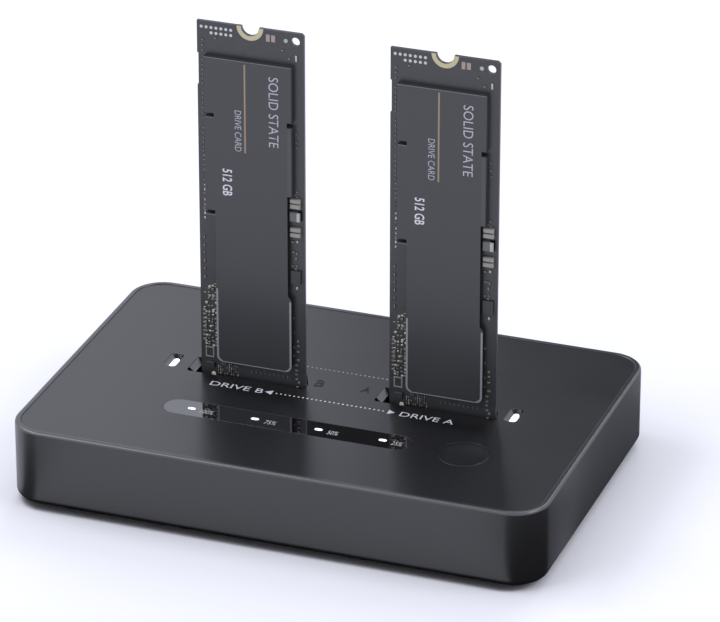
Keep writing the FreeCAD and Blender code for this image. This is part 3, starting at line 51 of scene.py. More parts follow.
def moulded(name, colour, rough, grain=9000, bite=0.06, mottle=0.06, bend_index=1.6):
    """Moulded plastic: fine texture, slight unevenness of shade and of gloss."""
    material = bpy.data.materials.new(name)
    material.use_nodes = True
    nodes, links = material.node_tree.nodes, material.node_tree.links
    shader = nodes["Principled BSDF"]
    shader.inputs["IOR"].default_value = bend_index
    place = nodes.new("ShaderNodeTexCoord")
    fine = nodes.new("ShaderNodeTexNoise")
    fine.inputs["Scale"].default_value = grain
    fine.inputs["Detail"].default_value = 3
    broad = nodes.new("ShaderNodeTexNoise")
    broad.inputs["Scale"].default_value = 90
    broad.inputs["Detail"].default_value = 4
    for texture in (fine, broad):
        links.new(place.outputs["Object"], texture.inputs["Vector"])
    bump = nodes.new("ShaderNodeBump")
    bump.inputs["Strength"].default_value = bite
    bump.inputs["Distance"].default_value = 0.02 * mm
    links.new(fine.outputs["Fac"], bump.inputs["Height"])
    links.new(bump.outputs["Normal"], shader.inputs["Normal"])
    shade = nodes.new("ShaderNodeMix")
    shade.data_type = "RGBA"
    shade.inputs["A"].default_value = [c * (1 - mottle) for c in colour] + [1]
    shade.inputs["B"].default_value = [c * (1 + mottle) for c in colour] + [1]
    links.new(broad.outputs["Fac"], shade.inputs["Factor"])
    links.new(shade.outputs["Result"], shader.inputs["Base Color"])
    gloss = nodes.new("ShaderNodeMapRange")
    gloss.inputs["To Min"].default_value = rough * 0.9
    gloss.inputs["To Max"].default_value = rough * 1.1
    links.new(broad.outputs["Fac"], gloss.inputs["Value"])
    links.new(gloss.outputs["Result"], shader.inputs["Roughness"])
    return material


def bend(cx, cy, radius, start, turn, steps):
    """Points on an arc, from angle start through turn, both in degrees."""
    angles = [math.radians(start + turn * n / steps) for n in range(steps + 1)]
    return [(cx + radius * math.cos(a), cy + radius * math.sin(a)) for a in angles]


def rounded(x0, x1, y0, y1, radius, steps=10):
    """Outline of a rectangle with rounded corners, from its right side on."""
    points = bend(x1 - radius, y1 - radius, radius, 0, 90, steps)
    points += bend(x0 + radius, y1 - radius, radius, 90, 90, steps)
    points += bend(x0 + radius, y0 + radius, radius, 180, 90, steps)
    return points + bend(x1 - radius, y0 + radius, radius, 270, 90, steps)


def oval(cx, cy, long, wide, upright=False, steps=12):
    """Outline of a pill that lies along X, or along Y if upright."""
    half, radius = (long - wide) / 2, wide / 2
    if upright:
        points = bend(cx, cy + half, radius, 0, 180, steps)
        return points + bend(cx, cy - half, radius, 180, 180, steps)
    points = bend(cx + half, cy, radius, -90, 180, steps)
    return points + bend(cx - half, cy, radius, 90, 180, steps)


def disc(cx, cy, radius, steps=48):
    """Outline of a circle."""
    return bend(cx, cy, radius, 0, 360, steps)[:-1]


def shell(name, points, faces, round_under=35):
    """A new mesh object, smooth but for edges sharper than round_under degrees."""
    mesh = bpy.data.meshes.new(name)
    mesh.from_pydata([tuple(p) for p in points], [], faces)
    tidy = bmesh.new()
    tidy.from_mesh(mesh)
    bmesh.ops.recalc_face_normals(tidy, faces=tidy.faces)
    tidy.to_mesh(mesh)
    tidy.free()
    mesh.polygons.foreach_set("use_smooth", [True] * len(mesh.polygons))
    mesh.set_sharp_from_angle(angle=math.radians(round_under))
    thing = bpy.data.objects.new(name, mesh)
    bpy.context.scene.collection.objects.link(thing)
    return thing


def swept(name, profile, x0, x1, y0, y1, radius):
    """A closed (inset, height) profile carried round a rounded rectangle."""
    rings = [[(x, y, z) for x, y in rounded(x0 + d, x1 - d, y0 + d, y1 - d, max(radius - d, 0.2 * mm))]
             for d, z in profile]
    count, around = len(rings), len(rings[0])
    points = [p for one in rings for p in one]
    faces = []
    for i in range(count):
        for j in range(around):
            a, b = i * around, (i + 1) % count * around
            k = (j + 1) % around
            faces.append((a + j, a + k, b + k, b + j))
    return shell(name, points, faces)


def baked(thing):
    """The object as its modifiers leave it, as one plain mesh."""
    bpy.context.view_layer.update()
    seen = thing.evaluated_get(bpy.context.evaluated_depsgraph_get())
    mesh = bpy.data.meshes.new_from_object(seen)
    name = thing.name
    bpy.data.objects.remove(thing)
    whole = bpy.data.objects.new(name, mesh)
    bpy.context.scene.collection.objects.link(whole)
    return whole


def pierced(thing, cutters):
    """The object with the cutters' shapes taken out of it."""
    for cutter in cutters:
        cut = thing.modifiers.new("hole", "BOOLEAN")
        cut.object = cutter
        cut.solver = "EXACT"
    whole = baked(thing)
    for cutter in cutters:
        bpy.data.objects.remove(cutter)
    whole.data.polygons.foreach_set("use_smooth", [True] * len(whole.data.polygons))
    whole.data.set_sharp_from_angle(angle=math.radians(35))
    return whole


def stood(thing, towards="front"):
    """Turns a piece drawn flat so that its own height runs to the front, or to the back."""
    turn = 90 if towards == "front" else -90
    thing.data.transform(Matrix.Rotation(math.radians(turn), 4, "X"))
    return thing


def fitted(thing, material, body, finish, *nodes):
    """Gives a piece its material, its CAD body and the nodes it stands for."""
    thing.data.materials.clear()
    thing.data.materials.append(material)
    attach(thing, body)
    if nodes:
        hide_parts(*nodes)
    return thing


def prism(name, outline, low, high):
    """An outline raised straight up from one height to another."""
    count = len(outline)
    points = [(x, y, low) for x, y in outline] + [(x, y, high) for x, y in outline]
    faces = [tuple(range(count)), tuple(range(count, 2 * count))]
    faces += [(n, (n + 1) % count, count + (n + 1) % count, count + n) for n in range(count)]
    return shell(name, points, faces)


def middle(node, axis):
    """Where the middle of a CAD node lies along one axis."""
    low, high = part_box(node)
    return (low[axis] + high[axis]) / 2


case_low, case_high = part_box("housing_frame")
panel_low, panel_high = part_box("top_panel")
corner = 7 * mm
wall, rim = 2 * mm, 1.2 * mm
rim_round, skirt_round = 0.6 * mm, 1.4 * mm
panel_thick = 1.8 * mm
ledge = panel_high.z - panel_thick
profile = [(skirt_round - s, case_low.z + skirt_round - c)
           for s, c in bend(0, 0, skirt_round, 90, -90, 8)]
seam = case_high.z - rim_round
profile += [(0, seam), (rim, seam), (rim, ledge), (wall, ledge), (wall, case_low.z)]
ring = swept("housing_ring", profile, case_low.x, case_high.x, case_low.y, case_high.y, corner)
port_x, port_z = middle("data_port_shell", 0), middle("data_port_shell", 2)
jack_x, jack_z = middle("power_jack_body", 0), middle("power_jack_body", 2)
button_x, button_z = middle("power_button", 0), middle("power_button", 2)
inside, outside = 33 * mm, 38 * mm
port_long, port_wide, flare = 9.54 * mm, 3.86 * mm, 2.2 * mm
holes = [prism("port_hole", oval(port_x, -port_z, port_long, port_wide), inside, outside),
         prism("port_dish", oval(port_x, -port_z, port_long + flare, port_wide + flare),
               35.7 * mm, outside),
         prism("jack_hole", disc(jack_x, -jack_z, 4.1 * mm), inside, outside),
         prism("button_hole", disc(button_x, -button_z, 3.0 * mm), inside, outside)]
holes = [stood(hole, "back") for hole in holes]
ring = pierced(ring, holes)
case_black = moulded("case_black", (0.004, 0.004, 0.0045), 0.35, bend_index=1.73)
fitted(ring, case_black, "dock", "housing_plastic", "housing_frame")
profile = [(rim_round - c, seam + s) for c, s in bend(0, 0, rim_round, 0, 90, 8)]
eased = 0.1 * mm
profile += [(rim - eased, case_high.z), (rim, case_high.z - eased), (rim, seam)]
bead = swept("housing_rim", profile, case_low.x, case_high.x, case_low.y, case_high.y, corner)
# The rim gets a lighter, glossier copy of the case black: a painted highlight along its rounded edge.
rim_painted_highlight = moulded("rim_painted_highlight", (0.006, 0.006, 0.0065), 0.3, bend_index=1.95)
fitted(bead, rim_painted_highlight, "dock", "housing_plastic", "housing_frame")


# ---- base plate, feet and screws ----------------------------------------------------------
# A flat moulded cover closes the bottom. Four rubber discs are stuck in shallow seats, and
# four blackened cross-head screws go up through the plate into the bosses at the corners.

def carried(node, material):
    """A CAD node that keeps its own mesh and gets a finished material."""
    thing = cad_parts[node]
    thing.data.materials.clear()
    thing.data.materials.append(material)


def metal(name, colour, rough, streak=2500, bite=0.05):
    """Plated or drawn metal with a faint fine texture."""
    material = moulded(name, colour, rough, streak, bite, 0.04)
    shader = material.node_tree.nodes["Principled BSDF"]
    shader.inputs["Metallic"].default_value = 1
    return material


carried("base_plate", moulded("base_black", (0.014, 0.014, 0.015), 0.6, 5000, 0.12))
carried("rubber_feet", moulded("foot_rubber", (0.012, 0.012, 0.012), 0.85, 7000, 0.2, 0.12, 1.4))
screw_black = metal("screw_black", (0.12, 0.12, 0.125), 0.42)
carried("case_screws", screw_black)
carried("board_screws", screw_black)


# ---- main board and its parts -------------------------------------------------------------
# A green glass-epoxy board lies on four standoffs. Two controllers, a crystal, the supply
# inductors and capacitors and the six light packages are soldered to its upper face.

def masked_board(name, colour):
    """Solder mask over copper: broad fills and gaps show through it as faint patches."""
    material = moulded(name, colour, 0.35, 3000, 0.05, 0.05)
    nodes, links = material.node_tree.nodes, material.node_tree.links
    place = next(n for n in nodes if n.type == "TEX_COORD")
    fills = nodes.new("ShaderNodeTexVoronoi")
    fills.feature = "F1"
    fills.distance = "CHEBYCHEV"
    fills.inputs["Scale"].default_value = 900
    links.new(place.outputs["Object"], fills.inputs["Vector"])
    patch = nodes.new("ShaderNodeMix")
    patch.data_type = "RGBA"
    patch.inputs["A"].default_value = [c * 0.9 for c in colour] + [1]
    patch.inputs["B"].default_value = [c * 1.2 for c in colour] + [1]
    links.new(fills.outputs["Distance"], patch.inputs["Factor"])
    links.new(patch.outputs["Result"], nodes["Principled BSDF"].inputs["Base Color"])
    return material


chip_black = moulded("chip_black", (0.022, 0.022, 0.023), 0.55, 6000, 0.15)
carried("main_board", masked_board("board_green", (0.015, 0.09, 0.045)))
carried("bridge_chips", chip_black)
carried("crystal_can", metal("crystal_steel", (0.62, 0.62, 0.64), 0.3))
carried("filter_capacitors", metal("can_aluminium", (0.72, 0.73, 0.75), 0.35))
carried("power_inductors", moulded("coil_ferrite", (0.05, 0.05, 0.055), 0.5, 5000, 0.15))
carried("board_lights", moulded("light_package", (0.8, 0.78, 0.62), 0.4, 5000, 0.05))
carried("key_switch_body", moulded("switch_black", (0.02, 0.02, 0.02), 0.5))
carried("key_switch_plunger", moulded("plunger_red", (0.4, 0.05, 0.04), 0.4))
carried("power_switch_body", moulded("latch_black", (0.02, 0.02, 0.02), 0.5))
carried("power_switch_rod", moulded("rod_grey", (0.2, 0.2, 0.2), 0.45))


# ---- card sockets -------------------------------------------------------------------------
# Each socket is a tall black moulding that comes up through its slot in the panel. Its mouth
# has a key rib, and two staggered rows of gold strips stand in open channels behind the walls.

contact_gold = metal("contact_gold", (0.83, 0.62, 0.28), 0.25)
for side in ("a", "b"):
    carried("socket_%s_housing" % side, moulded("socket_black_" + side, (0.014, 0.014, 0.015), 0.5))
    carried("socket_%s_contacts" % side, contact_gold)


# ---- power button, data port and power jack -----------------------------------------------
# Through the back wall come a crowned round button, a drawn steel port with its thin tongue,
# and a moulded jack with a nickel-plated centre pin. Each is held by the board or the wall.

def turned(name, outline, x, y, z, steps=64):
    """A (radius, height) outline turned about an upright axis at (x, y, z)."""
    points, faces = [], []
    for radius, height in outline:
        points += [(x + radius * math.cos(2 * math.pi * n / steps),
                    y + radius * math.sin(2 * math.pi * n / steps), z + height)
                   for n in range(steps)]
    for row in range(len(outline) - 1):
        for n in range(steps):
            a, b, k = row * steps, (row + 1) * steps, (n + 1) % steps
            faces.append((a + n, a + k, b + k, b + n))
    faces.append(tuple(range(steps))[::-1])
    faces.append(tuple(range((len(outline) - 1) * steps, len(outline) * steps)))
    return shell(name, points, faces)


button_low, button_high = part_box("power_button")
length = button_high.y - button_low.y
stem, flange, crown_round = 2.8 * mm, 3.6 * mm, 0.6 * mm
crown = bend(stem - crown_round, length - crown_round, crown_round, 0, 90, 8)
sides = [(stem, 0), (stem, 2.06 * mm), (flange, 2.06 * mm), (flange, 2.9 * mm), (stem, 2.9 * mm)]
dip = [(1.9 * mm, length - 0.04 * mm), (1.0 * mm, length - 0.12 * mm), (0.1 * mm, length - 0.16 * mm)]
cap = turned("button_cap", sides + crown + dip, button_x, -button_z, button_low.y)
stood(cap, "back")
button_black = moulded("button_black", (0.02, 0.02, 0.021), 0.32)
fitted(cap, button_black, "power_button", "button_plastic", "power_button")
port_steel = metal("port_steel", (0.6, 0.6, 0.62), 0.28)
carried("data_port_shell", port_steel)
carried("data_port_tongue", moulded("tongue_black", (0.015, 0.015, 0.015), 0.5))
carried("power_jack_body", moulded("jack_black", (0.016, 0.016, 0.017), 0.45))
carried("power_jack_pin", metal("pin_nickel", (0.66, 0.64, 0.6), 0.25))


# ---- top panel ----------------------------------------------------------------------------
# A separate plate, moulded in the same black but smoother, sits 0.15 mm below the rim. Each
# card slot has a slope at its left end and is drawn in at its rear right corner. The two window
# holes, the key hole and the recess of the light strip go through or into it.

def plate(name, loops, low, high, edge):
    """A flat sheet: the first loop is its outline, the rest are holes, all with eased edges."""
    curve = bpy.data.curves.new(name, "CURVE")
    curve.dimensions = "2D"
    curve.fill_mode = "BOTH"
    for loop in loops:
        spline = curve.splines.new("POLY")
        spline.points.add(len(loop) - 1)
        for spot, (x, y) in zip(spline.points, loop):
            spot.co = (x, y, 0, 1)
        spline.use_cyclic_u = True
    curve.bevel_depth = edge
    curve.bevel_resolution = 2
    curve.offset = -edge
    curve.extrude = (high - low) / 2 - edge
    thing = bpy.data.objects.new(name, curve)
    bpy.context.scene.collection.objects.link(thing)
    thing = baked(thing)
    thing.data.transform(Matrix.Translation((0, 0, (low + high) / 2)))
    thing.data.polygons.foreach_set("use_smooth", [True] * len(thing.data.polygons))
    thing.data.set_sharp_from_angle(angle=math.radians(30))
    return thing


key_x, key_y = middle("clone_key", 0), middle("clone_key", 1)
window_low, window_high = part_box("progress_window")
strip_x, strip_y = middle("progress_window", 0), middle("progress_window", 1)
card_mid = {side: middle("card_%s_board" % side, 0) for side in ("a", "b")}
card_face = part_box("card_a_board")[0].y
card_y = card_face + 0.4 * mm
slot_left, slot_right, slot_front, slot_rear = 14.0 * mm, 11.2 * mm, 1.2 * mm, 5.2 * mm
flange_low, flange_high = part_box("status_light_guides")
flange_half = 1.975 * mm
well_x = {"b": flange_low.x + flange_half, "a": flange_high.x - flange_half}
well_y = middle("status_light_guides", 1)
window_left, window_right, window_reach = 1.45 * mm, 1.25 * mm, 2.8 * mm
fit = 0.04 * mm
outer = rounded(panel_low.x, panel_high.x, panel_low.y, panel_high.y, corner - rim - 0.05 * mm)
loops = [outer, disc(key_x, key_y, 5.1 * mm)]
strip_long, strip_wide = window_high.x - window_low.x, window_high.y - window_low.y
loops.append(oval(strip_x, strip_y, strip_long + fit, strip_wide + fit))
for side in ("a", "b"):
    x = card_mid[side]
    slot = rounded(x - slot_left, x + slot_right, card_y - slot_front, card_y + slot_rear, 0.7 * mm, 6)
    drawn_in = [(x + slot_right, card_y + 0.9 * mm), (x + 10.7 * mm, card_y + 2.0 * mm),
                (x + 9.4 * mm, card_y + 4.9 * mm), (x + 8.8 * mm, card_y + slot_rear)]
    loops.append(drawn_in + slot[7:])
    x = well_x[side]
    loops.append(rounded(x - window_left, x + window_right, well_y - window_reach,
                         well_y + window_reach, 0.8 * mm, 8))
panel = plate("panel_plate", loops, ledge, panel_high.z, 0.04 * mm)
panel_black = moulded("panel_black", (0.0035, 0.0035, 0.004), 0.3, 12000, 0.025, 0.04, 1.73)
fitted(panel, panel_black, "dock", "panel_plastic", "top_panel")
# The slopes get a lighter, glossier copy of the panel black: a painted highlight of their lit faces.
slope_painted_highlight = moulded("slope_painted_highlight", (0.0085, 0.0085, 0.0095), 0.3, 9000, 0.1, 0.1, 1.95)


def ramp(name, left, wide, drop, y0, y1):
    """The sloped left end of an opening, with eased edges, down to the plate's underside."""
    top = panel_high.z - 0.03 * mm
    rows = [(left, top), (left + 0.12 * mm, top - 0.02 * mm),
            (left + wide - 0.1 * mm, top - drop + 0.05 * mm),
            (left + wide, top - drop), (left + wide, ledge), (left, ledge)]
    points = [(x, y, z) for y in (y0, y1) for x, z in rows]
    count = len(rows)
    faces = [tuple(range(count))[::-1], tuple(range(count, 2 * count))]
    faces += [(n, (n + 1) % count, count + (n + 1) % count, count + n) for n in range(count)]
    return fitted(shell(name, points, faces, 25), slope_painted_highlight, "dock", "panel_plastic")


for side in ("a", "b"):
    ramp("slot_slope_" + side, card_mid[side] - slot_left, 1.2 * mm, 0.95 * mm,
         card_y + 0.3 * mm, card_y + slot_rear)
    ramp("window_slope_" + side, well_x[side] - window_left, 0.85 * mm, 0.6 * mm,
         well_y - window_reach + 0.05 * mm, well_y + window_reach - 0.05 * mm)


# ---- printing on the panel ----------------------------------------------------------------
# White ink, pad printed: two dotted lines that pair the slots, an arrowhead at each end of the
# front one, and a plain word beside each. The two bay letters are cut in and left unfilled; here
# they are dark matt outlines laid on the panel, painted shade of their cut walls.

ink_white = moulded("ink_white", (0.72, 0.73, 0.75), 0.5, 4000, 0.1, 0.1)
ink_top = panel_high.z + 0.02 * mm


def printed(name, outlines, z=None, thick=0.015 * mm):
    """Flat shapes of ink, laid on a face as one piece."""
    base = ink_top if z is None else z
    points, faces = [], []
    for outline in outlines:
        start, count = len(points), len(outline)
        points += [(x, y, base) for x, y in outline]
        points += [(x, y, base - thick) for x, y in outline]
        faces.append(tuple(range(start, start + count)))
        faces += [(start + n, start + count + n, start + count + (n + 1) % count,
                   start + (n + 1) % count) for n in range(count)]
    return shell(name, points, faces)


def dotted(x0, x1, y):
    """Outlines of a row of round dots."""
    pitch, radius = 0.93 * mm, 0.2 * mm
    count = int((x1 - x0) / pitch) + 1
    return [disc(x0 + n * pitch + radius, y, radius, 12) for n in range(count)]


def words(name, text, x0, x1, y0, y1, z, hollow=0, lean=0, thin=0):
    """Lettering stretched to fill a box on a level face, filled or only in outline."""
    curve = bpy.data.curves.new(name, "FONT")
    curve.body = text
    curve.resolution_u = 4
    curve.shear = lean
    curve.offset = -thin
    if hollow:
        curve.fill_mode = "NONE"
        curve.bevel_depth = hollow
        curve.bevel_resolution = 0
    thing = bpy.data.objects.new(name, curve)
    bpy.context.scene.collection.objects.link(thing)
    thing = baked(thing)
    spots = [v.co.copy() for v in thing.data.vertices]
    low = [min(p[n] for p in spots) for n in (0, 1)]
    high = [max(p[n] for p in spots) for n in (0, 1)]
    for vertex in thing.data.vertices:
        x = x0 + (vertex.co.x - low[0]) * (x1 - x0) / (high[0] - low[0])
        y = y0 + (vertex.co.y - low[1]) * (y1 - y0) / (high[1] - low[1])
        vertex.co = (x, y, z + vertex.co.z * 0.05 * mm)
    return thing


front_y, rear_y = -4.16 * mm, 9.05 * mm
arrow_half = 0.9 * mm
marks = dotted(-10.2 * mm, 12.4 * mm, front_y)
marks.append([(-10.9 * mm, front_y + arrow_half), (-12.4 * mm, front_y),
              (-10.9 * mm, front_y - arrow_half)])
marks.append([(13.35 * mm, front_y - arrow_half), (14.75 * mm, front_y),
              (13.35 * mm, front_y + arrow_half)])
lines = printed("pairing_line_front", marks)
fitted(lines, ink_white, "dock", "panel_plastic")
ink_dim = moulded("ink_dim", (0.33, 0.34, 0.36), 0.5, 4000, 0.1, 0.1)
lines = printed("pairing_line_rear", dotted(-12.2 * mm, 14.2 * mm, rear_y))
fitted(lines, ink_dim, "dock", "panel_plastic")
for side, x0 in (("b", -23.9 * mm), ("a", 15.9 * mm)):
    label = words("slot_word_" + side, "DRIVE " + side.upper(), x0, x0 + 11.1 * mm,
                  front_y - 0.95 * mm, front_y + 0.85 * mm, ink_top)
    fitted(label, ink_white, "dock", "panel_plastic")
engraving_shade = moulded("engraving_shade_black", (0.003, 0.003, 0.0035), 0.6, bend_index=1.3)
for side, x0, x1, y0, y1 in (("b", -4.3, -2.45, 1.4, 4.2), ("a", 5.3, 7.1, 2.1, 4.5)):
    letter = words("bay_letter_" + side, side.upper(), x0 * mm, x1 * mm, y0 * mm, y1 * mm,
                   ink_top, hollow=0.022)
    fitted(letter, engraving_shade, "dock", "panel_plastic")


# ---- progress strip, its lights and the status lenses ---------------------------------------
# A polished smoked strip lies flush in the panel. Four clear posts come up through it as lit
# pills, each with its share of the copy printed beside it. Two lit lenses on dark flanges sit
# in the windows.

def lit(name, colour, strength):
    """Clear plastic with a light behind it."""
    material = moulded(name, colour, 0.3, 6000, 0.02, 0.02)
    shader = material.node_tree.nodes["Principled BSDF"]
    shader.inputs["Emission Color"].default_value = (*colour, 1)
    shader.inputs["Emission Strength"].default_value = strength
    return material


gap = 0.06 * mm
post_long, post_wide = 1.6 * mm, 0.85 * mm
guide_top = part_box("progress_light_guide")[1].z
post_y = middle("progress_light_guide", 1)
post_x = [(-23.35 + 13.25 * n) * mm for n in range(4)]
loops = [oval(strip_x, strip_y, strip_long, strip_wide)]
loops += [oval(x, post_y, post_long + 2 * gap, post_wide + 2 * gap) for x in post_x]
strip = plate("smoked_strip", loops, window_low.z, window_high.z, 0.015 * mm)
smoked = moulded("smoked_black", (0.0035, 0.0035, 0.004), 0.03, 400, 0.004, 0.05, 2.4)
fitted(strip, smoked, "dock", "window_smoked", "progress_window")
lit_white = lit("lit_white", (0.95, 0.97, 1.0), 1.1)
for number, x in enumerate(post_x, 1):
    post = plate("light_post_%d" % number, [oval(x, post_y, post_long, post_wide)],
                 guide_top - 3.3 * mm, guide_top, 0.1 * mm)
    fitted(post, lit_white, "dock", "guide_clear")
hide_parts("progress_light_guide")
ink_soft = moulded("ink_soft", (0.5, 0.5, 0.5), 0.5, 4000, 0.1, 0.1)
shares = (("100%", -21.3, -18.6), ("75%", -7.8, -5.5), ("50%", 5.2, 7.4), ("25%", 18.4, 20.6))
for text, x0, x1 in shares:
    share = words("share_" + text[:-1], text, x0 * mm, x1 * mm, -17.15 * mm, -15.6 * mm,
                  window_high.z + 0.01 * mm, lean=0.1)
    fitted(share, ink_soft, "dock", "window_smoked")
lens_top = flange_high.z
for side in ("a", "b"):
    x = well_x[side] + 0.05 * mm
    lens = plate("status_lens_" + side, [oval(x, well_y, 3.85 * mm, 1.2 * mm, upright=True)],
                 lens_top - 2.0 * mm, lens_top, 0.12 * mm)
    fitted(lens, lit_white, "dock", "guide_clear")
    floor = plate("status_well_" + side, [rounded(x - 1.7 * mm, x + 1.7 * mm, well_y - 3.2 * mm,
                                                  well_y + 3.2 * mm, 0.9 * mm)],
                  ledge - 0.8 * mm, ledge - 0.05 * mm, 0.1 * mm)
    fitted(floor, case_black, "dock", "guide_clear")
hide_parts("status_light_guides")


# ---- clone key ----------------------------------------------------------------------------
# A round satin key fills its hole with a thin gap. Its face is a shallow thumb dish inside a
# narrow level rim, and its flange stays under the panel.

key_low, key_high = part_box("clone_key")
top = key_high.z
dish = [((4.6 - 0.46 * n) * mm, top - 0.7 * mm * (1 - (1 - n / 10) ** 2)) for n in range(1, 10)]
edge = bend(4.94 * mm, top - 0.06 * mm, 0.06 * mm, 0, 90, 3)
outline = [(2.1 * mm, key_low.z), (2.1 * mm, top - 2.7 * mm), (6.1 * mm, top - 2.7 * mm),
           (6.1 * mm, top - 1.9 * mm), (5.0 * mm, top - 1.9 * mm)]
key = turned("key_cap", outline + edge + dish, key_x, key_y, 0)
key_black = moulded("key_black", (0.0035, 0.0035, 0.004), 0.33, 9000, 0.04, 0.05, 1.73)
fitted(key, key_black, "clone_key", "key_plastic", "clone_key")


# ---- card boards --------------------------------------------------------------------------
# Each drive card is a thin black board, bare at the back. Two key notches part the gold fingers
# of its lower end, which stand in the socket, and a plated half hole takes a screw at the top.

card_left = {side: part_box("card_%s_board" % side)[0].x for side in ("a", "b")}
card_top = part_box("card_a_board")[1].z
front = -card_face


def card_sheet(name, side, loops, low, high, edge):
    """A plate on the card's front, drawn in (across, down) millimetres and stood upright."""
    placed = [[(card_left[side] + u * mm, card_top - v * mm) for u, v in loop] for loop in loops]
    return stood(plate(name, placed, front + low, front + high, edge))


def lumps(name, side, parts, height, taper, base=0.0):
    """Small blocks with drawn-in tops, given as (left, down, wide, tall) on the card's front."""
    points, faces = [], []
    for left, down, wide, tall in parts:
        x0 = card_left[side] + left * mm
        z0 = card_top - (down + tall) * mm
        x1, z1 = x0 + wide * mm, z0 + tall * mm
        start = len(points)
        for inset, out in ((0, 0), (0, height * 0.8), (taper, height)):
            y = card_face - base - out
            points += [(x0 + inset, y, z0 + inset), (x1 - inset, y, z0 + inset),
                       (x1 - inset, y, z1 - inset), (x0 + inset, y, z1 - inset)]
        for row in (0, 4):
            faces += [(start + row + n, start + row + (n + 1) % 4, start + row + 4 + (n + 1) % 4,
                       start + row + 4 + n) for n in range(4)]
        faces.append((start + 8, start + 9, start + 10, start + 11))
        faces.append((start, start + 3, start + 2, start + 1))
    return shell(name, points, faces, 20)


wide, long, shoulder = 22, 80.0, 76
tab_low, tab_high = 1.075, 20.925
notch_deep, notch_half = 77.1, 0.6
hole_u = 11
outline = [(0, 6.7), (0, 0)] + bend(hole_u, 0, 1.8, 180, -180, 18)
outline += [(wide - 0.5, 0), (wide, 0.5), (wide, shoulder), (tab_high, shoulder), (tab_high, long)]
for u in (17.125, 5.375):
    outline += [(u + notch_half, long), (u + notch_half, notch_deep)]
    outline += bend(u, notch_deep, notch_half, -15, -150, 10)
    outline += [(u - notch_half, notch_deep), (u - notch_half, long)]
outline += [(tab_low, long), (tab_low, shoulder), (0, shoulder), (0, 13.4), (0.25, 13.4), (0.25, 6.7)]
tooling = disc(20.3, 1.75, 0.875, 24)
half_ring = bend(hole_u, 0, 2.75, 0, 180, 18) + bend(hole_u, 0, 1.85, 180, -180, 18)
columns = [1.35 + 0.5 * n for n in range(39)]
fingers = [(u, 76.6, 0.35, 3.1) for u in columns if not (4.3 < u < 6.2) and not (16.1 < u < 17.9)]
card_black = masked_board("card_black", (0.031, 0.0315, 0.0325))
ring_gold = metal("ring_gold", (0.52, 0.48, 0.3), 0.45)
for side in ("a", "b"):
    body = "card_" + side
    board = card_sheet("card_board_" + side, side, [outline, tooling], -0.8 * mm, 0, 0.04 * mm)
    fitted(board, card_black, body, "card_laminate", "card_%s_board" % side)
    for face, low in (("front", 0), ("back", -0.85 * mm)):
        ring = card_sheet("mount_ring_%s_%s" % (face, side), side, [half_ring],
                          low, low + 0.05 * mm, 0.01 * mm)
        fitted(ring, ring_gold, body, "ring_gold")
    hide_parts("card_%s_mount_ring" % side)
    finger = lumps("contact_fingers_" + side, side, fingers, 0.03 * mm, 0.01 * mm)
    fitted(finger, contact_gold, body, "ring_gold")


# ---- card packages ------------------------------------------------------------------------
# Black moulded packages are soldered flat on the front of each card: memory at the upper end
# and down the left edge, a buffer in the middle and the controller above the fingers.

memory = [[(1.75, 6.8), (19.9, 6.8), (19.9, 18.4), (1.75, 18.4)],
          [(1.75, 19.4), (19.9, 19.4), (19.9, 34.0), (1.75, 34.0)],
          [(1.8, 34.4), (6.0, 34.4), (6.0, 39.2), (1.8, 39.2)],
          [(1.8, 40.0), (6.0, 40.0), (6.0, 53.8), (1.8, 53.8)]]
large = (("buffer_", [(5.0, 36.5), (18.2, 36.5), (18.2, 46.5), (5.0, 46.5)]),
         ("controller_", [(4.3, 57.0), (18.7, 57.0), (18.7, 71.4), (4.3, 71.4)]))
package_high = 1.0 * mm
package_black = moulded("package_black", (0.027, 0.028, 0.030), 0.42, 6000, 0.1)
for side in ("a", "b"):
    body = "card_" + side
    for number, loop in enumerate(memory, 1):
        block = card_sheet("memory_%d_%s" % (number, side), side, [loop], 0, package_high, 0.04 * mm)
        fitted(block, package_black, body, "card_epoxy")
    for name, loop in large:
        block = card_sheet(name + side, side, [loop], 0, package_high, 0.08 * mm)
        fitted(block, package_black, body, "card_epoxy")
    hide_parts("card_%s_packages" % side)


# ---- card labels --------------------------------------------------------------------------
# A stiff dark film is stuck over the packages. It is wide over the memory, narrow below it and
# flares again at its foot, which a silver line edges, and it carries a few plain words.

def card_words(name, side, text, u0, u1, v0, v1, height, thin=0):
    """Lettering that reads down the card, from v0 to v1, with its feet at u0."""
    thing = words(name, text, v0 * mm, v1 * mm, u0 * mm, u1 * mm, 0, thin=thin)
    for vertex in thing.data.vertices:
        down, across = vertex.co.x, vertex.co.y
        vertex.co = (card_left[side] + across, card_face - height, card_top - down)
    return thing


foot_round, left, right, foot = 1.3, 3.85, 19.6, 72.0
turn = bend(right - foot_round, foot - foot_round, foot_round, 0, 90, 6)
turn += bend(left + foot_round, foot - foot_round, foot_round, 90, 90, 6)
notch = [(1.8, 39.2), (1.8, 19.3), (3.8, 19.3), (3.8, 18.5), (1.8, 18.5)]
wide_end = [(1.8, 6.8), (19.85, 6.8), (19.85, 18.4), (18.9, 18.4), (18.9, 19.4), (19.85, 19.4),
            (19.85, 34.0), (18.9, 34.0)]
sheet_loop = wide_end + [(18.9, 55.5), (right, 56.3)] + turn + [(left, 39.2)] + notch
line_wide, line_foot = 0.4, 0.16
inner_round = foot_round - line_wide
line_loop = [(right, 56.6)] + turn + [(left, 56.0), (left + line_wide, 56.0)]
line_loop += bend(left + foot_round, foot - foot_round, inner_round, 180, -60, 4)
line_loop += [(left + foot_round, foot - line_foot), (right - foot_round, foot - line_foot)]
line_loop += bend(right - foot_round, foot - foot_round, inner_round, 60, -60, 4)
line_loop.append((right - line_wide, 56.6))
